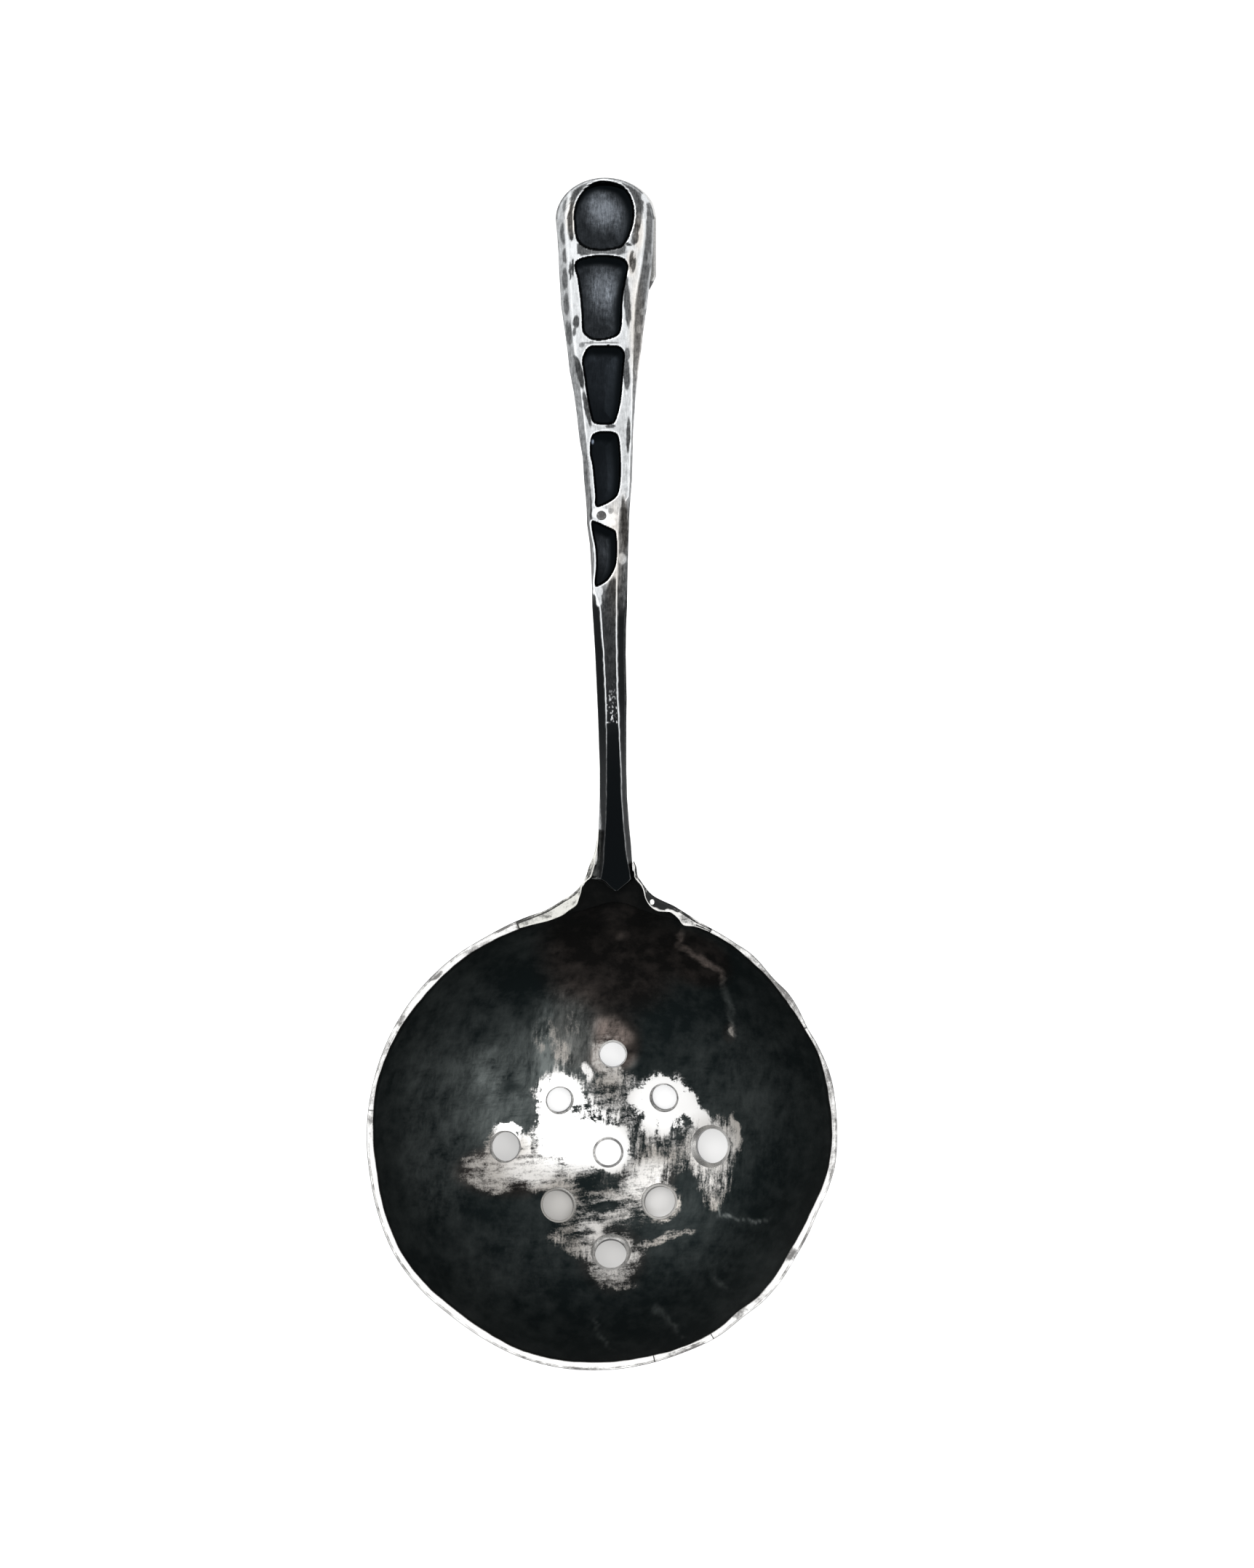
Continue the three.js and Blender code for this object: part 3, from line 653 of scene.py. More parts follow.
# %% A tree that joins the tab, sets the drills and cuts
def drilling_tree():
    group = bpy.data.node_groups.new("drilled_bowl", "GeometryNodeTree")
    group.interface.new_socket("Bowl", in_out="OUTPUT", socket_type="NodeSocketGeometry")
    for name, kind in (("Shell", "Geometry"), ("Tab", "Object"), ("Places", "Object"),
                       ("Reach", "Float"), ("Wall finish", "Material"),
                       ("Eased finish", "Material")):
        group.interface.new_socket(name, in_out="INPUT", socket_type="NodeSocket" + kind)
    tree = Tree(group)
    given = {socket.name: Flow(tree, socket)
             for socket in group.nodes.new("NodeGroupInput").outputs}

    def layer(name, kind="FLOAT"):
        return tree.add("GeometryNodeInputNamedAttribute", {"Name": name}, "Attribute",
                        data_type=kind)

    # Where the drills go, which way they point and how wide they are
    places = tree.add("GeometryNodeObjectInfo", {"Object": given["Places"]}, "Geometry")
    points = tree.add("GeometryNodeMeshToPoints", {"Mesh": places}, "Points")
    turn = tree.add("FunctionNodeAlignRotationToVector", {"Vector": layer("up", "FLOAT_VECTOR")},
                    "Rotation", axis="Z")
    wide = layer("mouth_width") * (0.5 * millimetre)
    narrow = layer("ease") * -millimetre + wide

    # A cylinder for the wall, and a cone that widens upwards for the eased edge
    shank = tree.add("GeometryNodeMeshCylinder",
                     {"Vertices": 64, "Radius": 1.0, "Depth": 2.0}, "Mesh")
    cone = tree.add("GeometryNodeMeshCone", {
        "Vertices": 64, "Radius Top": 1.6, "Radius Bottom": 0.4, "Depth": 1.0}, "Mesh")
    cone = tree.add("GeometryNodeTransform",
                    {"Geometry": cone, "Translation": (0, 0, -0.5)}, "Geometry")
    drills = []
    for drill, radius, finish in ((shank, narrow, "Wall finish"), (cone, wide, "Eased finish")):
        drill = tree.add("GeometryNodeSetMaterial",
                         {"Geometry": drill, "Material": given[finish]}, "Geometry")
        scale = tree.add("ShaderNodeCombineXYZ", {"X": radius, "Y": radius, "Z": given["Reach"]})
        drill = tree.add("GeometryNodeInstanceOnPoints", {
            "Points": points, "Instance": drill, "Rotation": turn, "Scale": scale}, "Instances")
        drills.append(tree.add("GeometryNodeRealizeInstances", {"Geometry": drill}, "Geometry"))

    # The tab joins the shell, and the drills cut both
    tab = tree.add("GeometryNodeObjectInfo", {"Object": given["Tab"]}, "Geometry")
    whole = tree.add("GeometryNodeMeshBoolean", {"Mesh 2": [given["Shell"], tab]}, "Mesh",
                     operation="UNION", solver="EXACT")
    cut = tree.add("GeometryNodeMeshBoolean", {"Mesh 1": whole, "Mesh 2": drills}, "Mesh",
                   operation="DIFFERENCE", solver="EXACT")
    cut = tree.add("GeometryNodeRealizeInstances", {"Geometry": cut}, "Geometry")
    tree.add("NodeGroupOutput", {"Bowl": cut})
    return group


# %% The drilled bowl as a plain mesh
def through_tree(piece, tree, inputs, crisp):
    """The piece becomes what the tree makes of it, with the modifier gone again."""
    modifier = piece.modifiers.new(tree.name, "NODES")
    modifier.node_group = tree
    for socket in tree.interface.items_tree:
        if socket.in_out == "INPUT" and socket.name in inputs:
            modifier[socket.identifier] = inputs[socket.name]
    evaluated = piece.evaluated_get(bpy.context.evaluated_depsgraph_get())
    mesh = bpy.data.meshes.new_from_object(evaluated)
    piece.modifiers.clear()
    piece.data = mesh
    tidy_mesh(mesh, crisp)


wall = bright_finish("drilled_wall", (0.20, 0.20, 0.20, 1), (0.05, 0.05, 0.05, 1), 0.3)
eased = bright_finish("eased_edge", (0.66, 0.65, 0.63, 1), (0.15, 0.15, 0.15, 1), 0.3)
bowl = lofted("drilled_bowl", shell_rings(), 40)
tab, places = tab_plate(), hole_points()
for piece in (bowl, tab):
    piece.data.materials.append(blackened)
through_tree(bowl, drilling_tree(), {
    "Tab": tab, "Places": places, "Reach": drill_reach, "Wall finish": wall, "Eased finish": eased,
}, 40)
for helper in (tab, places):
    bpy.data.objects.remove(helper)
print("bowl:", len(bowl.data.vertices), "points", [m.name for m in bowl.data.materials])

# %% [markdown]
# Where the bowl is worn: bright round the holes and across the middle, where ice and a
# spoon rub, and cloudy on the left. Each place is one soft dab, and each dab pulls the
# value under it towards its own. The finish breaks their edges up. Places and
# sizes of dabs are given in the photograph's pixels, which makes them easy to compare.
# One scale and the pixel in the middle of the mouth turn them into millimetres.

# %% From the photograph's pixels to millimetres, and dabs laid over each other
photo_scale = 0.1113
mouth_pixel = (828, 1560)


def px(x, y):
    return ((x - mouth_pixel[0]) * photo_scale, (mouth_pixel[1] - y) * photo_scale)


def laid(start, points, dabs, soft=0.5):
    """Dabs: x, y, half width, half height, a turn unless it is 0, and the value wanted."""
    value = np.array(start, float) * np.ones(len(points))
    x, y = points.T[:2]
    for left, top, half_wide, half_high, *turn, wanted in dabs:
        size = (half_wide * photo_scale, half_high * photo_scale)
        value = over(value, dab(x, y, px(left, top), size, *turn, soft=soft), wanted)
    return value


def shaken(points, size, reach):
    """Points moved a little by noise, so that a dab laid on them gets a ragged edge."""
    moved = points.copy()
    moved[:, 0] += reach * unevenness(points, size, 11)
    moved[:, 1] += reach * unevenness(points, size, 23)
    return moved


# %% How worn the bowl is, and how bright the worn places are
worn_dabs = [
    (842, 1560, 112, 96, 0.30), (900, 1560, 70, 60, 0.40), (838, 1640, 100, 60, 0.30),
    (760, 1618, 60, 30, -8, 0.48), (672, 1612, 40, 30, -12, 0.68), (720, 1606, 30, 20, 0.66),
    (745, 1560, 16, 60, 0.35), (800, 1575, 72, 38, -12, 1.0), (770, 1511, 38, 38, 1.0),
    (752, 1547, 19, 24, 1.0), (748, 1608, 26, 20, 20, 0.85), (800, 1611, 24, 14, 0.7),
    (850, 1562, 24, 16, 1.0), (836, 1584, 28, 28, 1.0), (840, 1500, 46, 32, 0.42),
    (880, 1566, 16, 38, 0.26), (830, 1620, 34, 15, 0.22), (840, 1481, 14, 10, 0.8),
    (815, 1528, 40, 9, -6, 0.5), (806, 1474, 9, 13, 25, 0.8), (770, 1452, 16, 24, 0.46),
    (771, 1452, 8, 15, 0.72), (748, 1424, 22, 30, 0.24), (786, 1410, 16, 26, 0.22),
    (836, 1430, 20, 18, 0.34), (826, 1452, 12, 22, -10, 0.66), (840, 1470, 18, 8, 0.62),
    (1003, 1423, 4, 9, 8, 0.8), (912, 1509, 37, 35, 1.0), (884, 1507, 18, 12, 0.95),
    (945, 1520, 22, 12, -38, 0.95), (908, 1545, 20, 20, 0.95), (962, 1538, 20, 14, -40, 0.8),
    (905, 1585, 6, 40, 0.55), (930, 1590, 16, 26, 0.42), (935, 1560, 14, 10, 0.3),
    (978, 1575, 38, 46, 0.8), (1012, 1558, 5, 28, 4, 0.75), (985, 1625, 25, 32, 10, 0.5),
    (985, 1650, 18, 20, 15, 0.36), (697, 1576, 28, 28, 0.75), (700, 1550, 16, 9, 0.9),
    (722, 1580, 8, 22, 0.8), (886, 1624, 36, 25, 18, 0.72), (905, 1604, 24, 14, 10, 0.80),
    (818, 1626, 42, 18, 4, 0.14), (838, 1610, 8, 6, 0.8), (775, 1655, 30, 30, 0.5),
    (906, 1651, 30, 29, 0.6), (834, 1664, 46, 21, 4, 0.45), (850, 1648, 30, 5, 3, 0.6),
    (834, 1678, 36, 5, 8, 0.6), (828, 1662, 32, 6, 4, 0.12), (812, 1692, 18, 17, 0.75),
    (778, 1698, 32, 20, 12, 0.34), (800, 1715, 20, 16, 0.5), (842, 1726, 40, 33, 0.62),
    (838, 1752, 30, 18, 0.55), (850, 1768, 30, 6, 0.34), (900, 1707, 40, 8, 20, 0.42),
    (940, 1698, 28, 4, 14, 0.42),
]
bright_dabs = [
    (672, 1612, 44, 32, -12, 0.12), (730, 1610, 40, 26, 0.45), (795, 1560, 80, 62, -12, 1.0),
    (770, 1511, 46, 46, 1.0), (838, 1582, 36, 34, 1.0), (912, 1516, 62, 58, 1.0),
    (960, 1540, 36, 22, -40, 0.95), (978, 1590, 44, 60, 0.35), (886, 1624, 44, 30, 18, 0.5),
    (840, 1665, 60, 24, 4, 0.3), (812, 1692, 22, 20, 0.4), (842, 1730, 50, 44, 0.35),
    (700, 1552, 26, 18, 1.0), (842, 1450, 40, 36, 0.25), (806, 1474, 12, 16, 20, 0.8),
]

# %% Places that are cloudy, that look brown, and whose wear runs down and not across
haze_dabs = [
    (650, 1500, 120, 130, 0.34), (690, 1500, 62, 75, 0.57), (668, 1478, 22, 40, 20, 0.85),
    (704, 1497, 17, 9, 0.16), (600, 1590, 50, 110, 0.30), (776, 1438, 56, 84, -8, 0.70),
    (764, 1440, 32, 52, -6, 1.35), (770, 1400, 30, 40, 0.5), (838, 1420, 28, 24, 1.5),
    (818, 1446, 12, 26, 1.2), (864, 1458, 12, 12, 0.5), (1010, 1520, 110, 120, 0.16),
    (700, 1740, 130, 80, 20, 0.13), (950, 1700, 90, 80, 0.12), (752, 1296, 22, 12, -42, 0.34),
    (770, 1290, 6, 14, 10, 0.36), (934, 1290, 5, 16, -10, 0.7), (945, 1312, 14, 4.5, -42, 0.8),
    (968, 1325, 18, 5, -30, 0.8), (987, 1334, 10, 4, -6, 0.8), (992, 1350, 4, 16, 8, 0.7),
    (999, 1385, 5, 26, 10, 0.5), (1003, 1416, 5, 14, 12, 0.9), (1004, 1425, 6, 8, 1.2),
    (905, 1798, 10, 8, -20, 0.42), (920, 1816, 26, 5, -50, 0.36), (933, 1832, 10, 3, -40, 0.4),
    (824, 1826, 3, 16, 14, 0.42), (836, 1848, 3, 14, 30, 0.38), (988, 1764, 16, 6, -36, 0.4),
    (1006, 1774, 8, 3, -30, 0.35), (991, 1664, 2.6, 11, 10, 1.3), (1004, 1675, 14, 2.4, 1.3),
    (1036, 1676, 18, 2.2, 1.1), (859, 1283, 15, 13, 0.62), (760, 1540, 30, 60, 0.3),
    (740, 1290, 40, 24, 0.10), (640, 1400, 60, 60, 0.16),
]
warm_dabs = [
    (840, 1310, 120, 110, 0.85), (838, 1438, 50, 46, 1.0), (960, 1320, 60, 40, -30, 0.9),
    (700, 1612, 90, 44, 0.8), (890, 1622, 50, 40, 0.6), (785, 1430, 40, 60, 0.42),
    (842, 1732, 60, 60, 0.6), (1003, 1420, 14, 20, 0.5),
]
comb_dabs = [
    (700, 1610, 90, 50, 0.22), (840, 1665, 90, 40, 0.1), (985, 1610, 50, 80, 1.0),
    (768, 1440, 50, 70, 1.0), (915, 1570, 40, 60, 0.6), (940, 1698, 50, 14, 14, 0.0),
]

# %% How dark the eased ring round each hole is, as painted shade that differs from hole to hole
ring_shade_dabs = [
    (842, 1448, 30, 30, 0.3), (767, 1511, 30, 30, 0.55), (911, 1507, 32, 32, 0.55),
    (697, 1575, 34, 34, 0.42), (836, 1583, 32, 32, 0.68), (984, 1575, 40, 42, 0.30),
    (765, 1655, 34, 34, 0.22), (906, 1650, 34, 34, 0.22), (842, 1723, 36, 36, 0.45),
    (836, 1562, 22, 8, 20, 0.5), (955, 1552, 7, 9, 0.1), (716, 1590, 12, 14, 0.2),
]

# %% The bowl's layers
here = spots(bowl)
x, y, z = here.T
in_hollow = (vectors(bowl, "normal")[:, 2] > 0.2).astype(float)
ragged = shaken(shaken(here, 6, 0.9), 1.5, 0.62)
worn_below = 0.02 + 0.10 * soft_step(z, 4, 20)

# The tab and the edge that it joins are blackest, so that their seam hardly shows
on_tab = soft_step(y, 28, 33) * (1 - soft_step(np.abs(x - 1.5), 8, 12))
near_edge = over(soft_step(z, edge_height - 0.6, edge_height - 0.1), on_tab,
                 soft_step(z, edge_height - 0.12, edge_height - 0.02))
haze = over(laid(0.02, ragged, haze_dabs, 0.7), np.maximum(on_tab * 0.5, near_edge), -1.0)

paint(bowl, "comb", laid(0.45, here, comb_dabs))
paint(bowl, "worn", over(worn_below, in_hollow, laid(0, ragged, worn_dabs)))
paint(bowl, "bright", over(0.3, in_hollow, laid(0, here, bright_dabs)))
paint(bowl, "haze", over(0.2, in_hollow, haze))
paint(bowl, "warm", laid(0, here, warm_dabs) * in_hollow)
# The eased rings and the drilled walls read this painted shade
paint(bowl, "shade", laid(0.3, here, ring_shade_dabs, 0.2))
settle(bowl, "bowl", "dark_silver")

# %% [markdown]
# Rim and gussets are bars with the same section: a square inside edge, a flat filed top
# and a narrow chamfer outside. The section is set along two matching lines, the inside
# and the outside of the bar as seen from above.

# %% A bar between two lines
def bar(name, inner, outer, heights, chamfer=0.32, uneven=0.04):
    wide = np.linalg.norm(outer - inner, axis=1)
    across = (outer - inner) / wide[:, None]
    cut = np.minimum(chamfer, 0.38 * wide)
    soft = np.minimum(0.1, 0.15 * wide)
    bottoms, tops = np.full(len(wide), edge_height), edge_height + heights
    section = [
        (0 * wide, bottoms), (0 * wide, tops - 2 * soft), (0.3 * soft, tops - 0.8 * soft),
        (soft, tops - 0.1 * soft), (0.35 * wide, tops), (0.55 * (wide - cut), tops + 0.01),
        (wide - cut - 0.03, tops), (wide - cut + 0.01, tops - 0.05), (wide - 0.04, tops - cut),
        (wide, tops - cut - 0.06), (wide, bottoms),
    ]
    rings = np.stack([
        np.column_stack([inner + across * out[:, None], rise]) for out, rise in section
    ], axis=1)
    rub = unevenness(rings[:, 4], 2.3, 3) * uneven
    rings[:, 2:9, 2] += rub[:, None] - uneven
    return lofted(name, rings, 24)


def near_line(points, line, half):
    """1 on a line seen from above, fading to 0 at about one and a half times half."""
    line = smooth_line(line, 8)
    away = np.hypot(*(points[:, None, :2] - line[None]).T).min(axis=0)
    return 1 - soft_step(away, 0.4 * half, 1.5 * half)


def shade_bar(piece, patches, base=0.12, side=0.62, worn_edge=None):
    """Grey patches on a bright bar, with painted shade on its chamfer and sides, where they tilt
    away from straight up.
    """
    here = spots(piece)
    # Painted shade: darker where the surface tilts away from straight up
    sloped_shade = soft_step(1 - vectors(piece, "normal")[:, 2], 0.10, 0.34)
    sides = side + 0.3 * unevenness(here, 3.4, 8)
    shade = over(laid(base, shaken(here, 0.9, 0.2), patches), sloped_shade, sides)
    if worn_edge:
        shade = over(shade, near_line(here, worn_edge, 0.18), 0.05)
    paint(piece, "shade", shade)


# %% The five lengths of the rim, from joint to joint
joints = {
    "rim_upper_right": (27.7, 62), "rim_upper_left": (112, 174), "rim_lower_left": (174, 283),
    "rim_bottom_short": (283, 298.6), "rim_lower_right": (298.6, 387.7),
}
rim_patches = [
    (1060, 1348, 80, 18, -47, 0.5), (1136, 1480, 12, 90, 10, 0.42),
    (694, 1284, 26, 10, 24, 0.42), (690, 1276, 16, 3, 24, 0.9), (960, 1264, 10, 5, -30, 0.5),
    (1010, 1296, 16, 6, -35, 0.45), (1035, 1314, 18, 8, -40, 0.6),
    (1060, 1340, 22, 8, -50, 0.75), (1078, 1362, 14, 7, -52, 0.85),
    (1100, 1398, 14, 7, -62, 0.6), (1120, 1440, 14, 7, -66, 0.5), (1140, 1480, 9, 34, 14, 0.55),
    (655, 1303, 26, 6, 28, 0.6), (630, 1320, 16, 5, 34, 0.35), (600, 1342, 12, 4, 40, 0.95),
    (548, 1400, 8, 18, -35, 0.7), (556, 1408, 3, 3, 1.0), (545, 1420, 3, 3, 1.0),
    (530, 1450, 5, 20, -22, 0.5), (510, 1540, 5, 40, 0.35), (1146, 1600, 7, 50, -5, 0.5),
    (1086, 1724, 12, 14, 40, 0.7), (1040, 1782, 16, 10, 40, 0.5), (1016, 1803, 16, 9, 40, 0.75),
    (935, 1862, 24, 7, 15, 0.7), (960, 1850, 10, 6, 20, 0.95), (800, 1882, 50, 4, 0.4),
    (720, 1870, 30, 5, -14, 0.6),
]
rim_height, rim_radius, joint_gap, rim_step = 1.17, 35, 0.12, 0.75
half_gap = math.degrees(joint_gap / 2 / rim_radius)
for node, (start, end) in joints.items():
    azimuth = np.arange(start + half_gap, end - half_gap, rim_step)
    azimuth = np.append(azimuth, end - half_gap)
    inside, outside = edge_at(azimuth)
    outwards = np.column_stack([np.cos(np.radians(azimuth)), np.sin(np.radians(azimuth))])
    wobble = unevenness(np.column_stack([outwards * rim_radius, 0 * azimuth]), 1.7, 1) * 0.07
    made = bar(node + "_bar", outwards * (inside + wobble)[:, None],
               outwards * outside[:, None], np.full(len(azimuth), rim_height))
    shade_bar(made, rim_patches)
    settle(made, node, "bright_silver", bright)

# %% The two gussets, each with one edge rubbed bright
left_patches = [
    (765, 1246, 70, 50, 0.46), (780, 1238, 34, 13, 38, 0.44), (815, 1205, 16, 24, 0.85),
    (818, 1170, 8, 30, 0.42), (775, 1243, 24, 8, 36, 0.3), (735, 1262, 20, 3, 20, 0.55),
    (778, 1254, 12, 4, 38, 0.75), (762, 1262, 8, 3, 25, 0.7), (792, 1244, 4, 6, -30, 0.8),
    (705, 1271, 14, 3, 22, 0.8), (730, 1274, 26, 4, 22, 0.1), (768, 1258, 26, 3, 30, 0.1),
]
right_patches = [
    (897, 1234, 18, 15, -38, 1.5), (915, 1246, 14, 7, -20, 1.3), (884, 1216, 9, 14, -40, 1.3),
    (926, 1248, 12, 4, -28, 1.2), (872, 1196, 6, 14, 0.9), (920, 1253, 12, 3, -10, 0.2),
    (944, 1264, 14, 6, -36, 0.55), (886, 1236, 2.2, 9, 12, 0.2), (872, 1170, 8, 16, 0.6),
]
gusset_height = 1.8


def gusset(name, inner, outer):
    inner, outer = smooth_line(inner, 8), smooth_line(outer, 8)
    climb = soft_step(np.linspace(0, 1, len(inner)), 0.1, 0.9)
    return bar(name, inner, outer, rim_height + (gusset_height - rim_height) * climb, 0.4)


left = gusset("left_gusset", left_inner, left_outer)
# Less painted shade on the sides of the left gusset's narrow top end
left_side_shade = 1 - 0.42 * soft_step(spots(left)[:, 1], 35.5, 38.5)
shade_bar(left, left_patches, side=left_side_shade, worn_edge=left_inner[5:])
settle(left, "left_shoulder", "bright_silver", filed)
right = gusset("right_gusset", right_inner, right_outer)
shade_bar(right, right_patches, base=0.3, side=0.9, worn_edge=right_inner[5:])
settle(right, "right_shoulder", "dark_silver", dusky)

# %% [markdown]
# The handle is one bar with a ridge along each side and five cells sunk into its top.
# From above its outline and the two ridges are all that is needed: four distances at a
# row of stations. Its top is then a height at each point, which falls at the side facets
# and sinks inside the cells. The mesh is fine enough to carry the cells' walls and lips.

# %% Stations along the handle: its left side, left ridge, right ridge and right side
stations = np.array([
    (37.3, 1.85, 2.0, 2.3, 2.45), (38.0, 0.9, 1.2, 3.1, 3.35), (38.8, 0.0, 0.4, 4.1, 4.45),
    (39.15, -1.68, -0.25, 4.35, 4.8), (40.5, -1.25, 0.0, 4.15, 4.65),
    (42.1, -0.8, 0.2, 3.8, 4.55), (44.3, -0.68, 0.3, 3.55, 4.4), (47.5, -0.55, 0.5, 3.25, 4.1),
    (51.7, -0.4, 0.62, 2.95, 3.8), (56.0, -0.4, 0.63, 2.85, 3.7),
    (60.3, -0.55, 0.63, 2.65, 3.7), (63.4, -0.65, 0.6, 2.55, 3.7),
    (66.8, -0.8, 0.5, 2.35, 3.75), (73.5, -1.1, 0.2, 2.22, 3.6), (77.6, -1.35, -0.1, 2.2, 3.65),
    (80.8, -1.55, -0.35, 2.22, 3.8), (83.8, -1.6, -1.3, 2.25, 3.85),
    (86.8, -1.7, -1.3, 2.3, 3.9), (90.2, -1.9, -1.5, 2.3, 4.0), (93.5, -2.35, -1.9, 2.4, 4.1),
    (95.8, -2.42, -1.9, 2.65, 4.2), (97.6, -2.55, -1.92, 3.85, 4.35),
    (100.2, -2.8, -1.95, 4.03, 4.55), (103.5, -3.0, -2.1, 4.12, 4.65),
    (106.8, -3.55, -2.4, 4.28, 4.72), (110.2, -3.9, -2.75, 4.4, 4.95),
    (113.5, -4.35, -3.1, 4.46, 5.2), (116.9, -5.0, -3.7, 4.5, 5.55),
    (120.2, -5.35, -4.1, 4.6, 5.97), (123.5, -5.8, -4.4, 4.75, 6.35),
    (126.9, -6.3, -4.8, 4.85, 6.85), (129.6, -6.45, -4.9, 5.2, 7.15),
    (132.2, -6.6, -5.1, 5.7, 7.5), (134.9, -6.7, -5.3, 6.1, 7.75),
    (137.6, -6.9, -5.5, 6.4, 7.85), (140.2, -7.12, -5.6, 6.5, 7.9),
])
tip_y = 1000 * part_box("handle")[1].y - mouth[1]
dome_start, dome_left, dome_left_ridge, dome_right_ridge, dome_right = stations[-1]
dome_length = tip_y - dome_start
dome_half, dome_middle = (dome_right - dome_left) / 2, (dome_right + dome_left) / 2


def handle_lines(y):
    """Left side, left ridge, right ridge and right side at a distance along the handle."""
    lines = np.array([np.interp(y, stations[:, 0], column) for column in stations.T[1:]])
    past = np.clip((y - dome_start) / dome_length, 0, 1)
    full = np.sqrt(1 - past**2)
    inner = np.maximum(np.sqrt(np.clip(1 - (past / 0.82) ** 2, 0.0, 1)), 0.1 * full)
    dome = np.array([dome_middle - dome_half * full,
                     dome_middle + (dome_left_ridge - dome_middle) * inner,
                     dome_middle + (dome_right_ridge - dome_middle) * inner,
                     dome_middle + dome_half * full])
    return np.where(past > 0, dome, lines)


# %% Height of the handle's top and underside along its length
seam_y, handle_length, tip_top = 39.1, 107.5, 15.7
seat_y, tab_end, hook_height = tip_y - 18.5, 46.8, 12.0


def handle_top(y):
    line = edge_height + 2.58 + (tip_top - edge_height - 2.6) * (y - seam_y) / handle_length
    thin = 1 - soft_step(y, seam_y - 1.9, seam_y + 6)
    return over(line, thin, edge_height + 1.7)


def handle_under(y):
    share = np.clip((y - seam_y) / (seat_y - seam_y), 0, 1)
    return np.where(y < tab_end, edge_height, over(edge_height - 1.9, share, hook_height))


# %% The cells' outlines, from the tip to the bowl, and how deep each one is
cell_outlines = [
    ([
        (0.2, 146.1), (2.67, 145.55), (3.82, 144.6), (4.56, 143.25), (4.94, 141.6),
        (4.8, 139.6), (4.2, 137.6), (3.56, 136.45), (2.67, 135.7), (0.2, 135.3), (-2.0, 135.5),
        (-3.34, 136.2), (-4.05, 137.3), (-4.32, 139.1), (-4.36, 141.1), (-3.96, 142.85),
        (-2.95, 144.5), (-1.56, 145.68),
    ], 1.9),
    ([
        (-4.2, 133.4), (-3.6, 134.05), (-2.2, 134.45), (-0.2, 134.67), (2.0, 134.5),
        (3.3, 134.1), (3.96, 133.2), (3.95, 132.4), (3.65, 130.7), (3.3, 128.9), (3.1, 126.9),
        (3.0, 124.0), (2.67, 122.65), (1.78, 122.0), (0.0, 121.55), (-1.56, 121.65),
        (-2.67, 122.4), (-3.1, 123.3), (-3.2, 125.8), (-3.45, 128.4), (-3.83, 131.1),
        (-4.2, 132.4),
    ], 1.8),
    ([
        (-1.87, 120.7), (0.1, 120.85), (2.1, 120.8), (3.0, 120.4), (3.48, 119.4), (3.34, 117.5),
        (3.14, 115.0), (2.85, 112.1), (2.28, 109.8), (1.5, 108.75), (-1.2, 108.85),
        (-1.87, 110.4), (-2.5, 113.8), (-2.87, 116.55), (-3.12, 118.4), (-2.73, 119.8),
    ], 1.6),
    ([
        (-1.4, 107.25), (0.1, 107.7), (1.85, 107.5), (2.56, 106.7), (2.85, 104.1),
        (2.9, 101.25), (2.7, 99.0), (2.28, 97.7), (1.0, 96.7), (-0.6, 96.05), (-1.15, 96.5),
        (-1.12, 97.8), (-1.3, 99.8), (-1.55, 102.4), (-1.9, 104.1), (-1.87, 106.1),
    ], 1.4),
    ([
        (-1.7, 93.8), (-0.87, 93.83), (0.28, 93.3), (1.85, 92.55), (2.2, 91.85), (2.32, 89.8),
        (2.2, 87.55), (1.7, 86.1), (0.71, 84.7), (-0.85, 83.85), (-1.2, 84.5), (-1.0, 87.0),
        (-1.07, 89.5), (-1.5, 91.8),
    ], 1.2),
]


def inside_by(x, y, outline):
    """Distance in from a closed outline, negative outside it."""
    line = smooth_line(outline, 6, closed=True)
    nearest = np.full(x.shape, 1e9)
    crossings = np.zeros(x.shape, int)
    for (ax, ay), (bx, by) in zip(line, np.roll(line, -1, axis=0)):
        ex, ey = bx - ax, by - ay
        t = np.clip(((x - ax) * ex + (y - ay) * ey) / (ex**2 + ey**2), 0, 1)
        nearest = np.minimum(nearest, np.hypot(x - ax - t * ex, y - ay - t * ey))
        spans = (ay > y) != (by > y)
        at = ax + (y - ay) * ex / (ey if abs(ey) > 1e-9 else 1e-9)
        crossings += spans & (x < at)
    return np.where(crossings % 2 == 1, nearest, -nearest)


# %% The handle's top as a height at each place
facet_drop, cell_wall, cell_reach = 1.3, 0.35, 9
dome_width, dome_facet = 6.6, 1.35


def from_side(x, y):
    """Distance in from the handle's outline, as a share of the side facet's width."""
    left, left_ridge, right_ridge, right = handle_lines(y)
    straight = np.minimum((x - left) / np.maximum(left_ridge - left, 0.05),
                          (right - x) / np.maximum(right - right_ridge, 0.05))
    past = np.maximum(y - dome_start, 0)
    dome = 1 - np.hypot((x - dome_middle) / dome_half, past / dome_length)
    return np.where(y > dome_start, dome * dome_width / dome_facet, straight)


def cell_depths(x, y):
    """The cut's depth at a point, and how far inside a cell it is (negative outside)."""
    cut, nearest = np.zeros(x.shape), np.full(x.shape, -1e9)
    for outline, depth in cell_outlines:
        close = np.abs(y - np.mean([p[1] for p in outline])) < cell_reach
        inside = np.full(x.shape, -1e9)
        inside[close] = inside_by(x[close], y[close], outline)
        wall = soft_step(inside, 0.0, cell_wall)
        dish = soft_step(inside, 0.2, 3.0)
        cut = np.maximum(cut, wall * depth * (0.62 + 0.38 * dish))
        nearest = np.maximum(nearest, inside)
    return cut, nearest


def top_height(x, y):
    facet = np.clip(1 - from_side(x, y), 0, 1)
    return handle_top(y) - facet_drop * facet - cell_depths(x, y)[0]


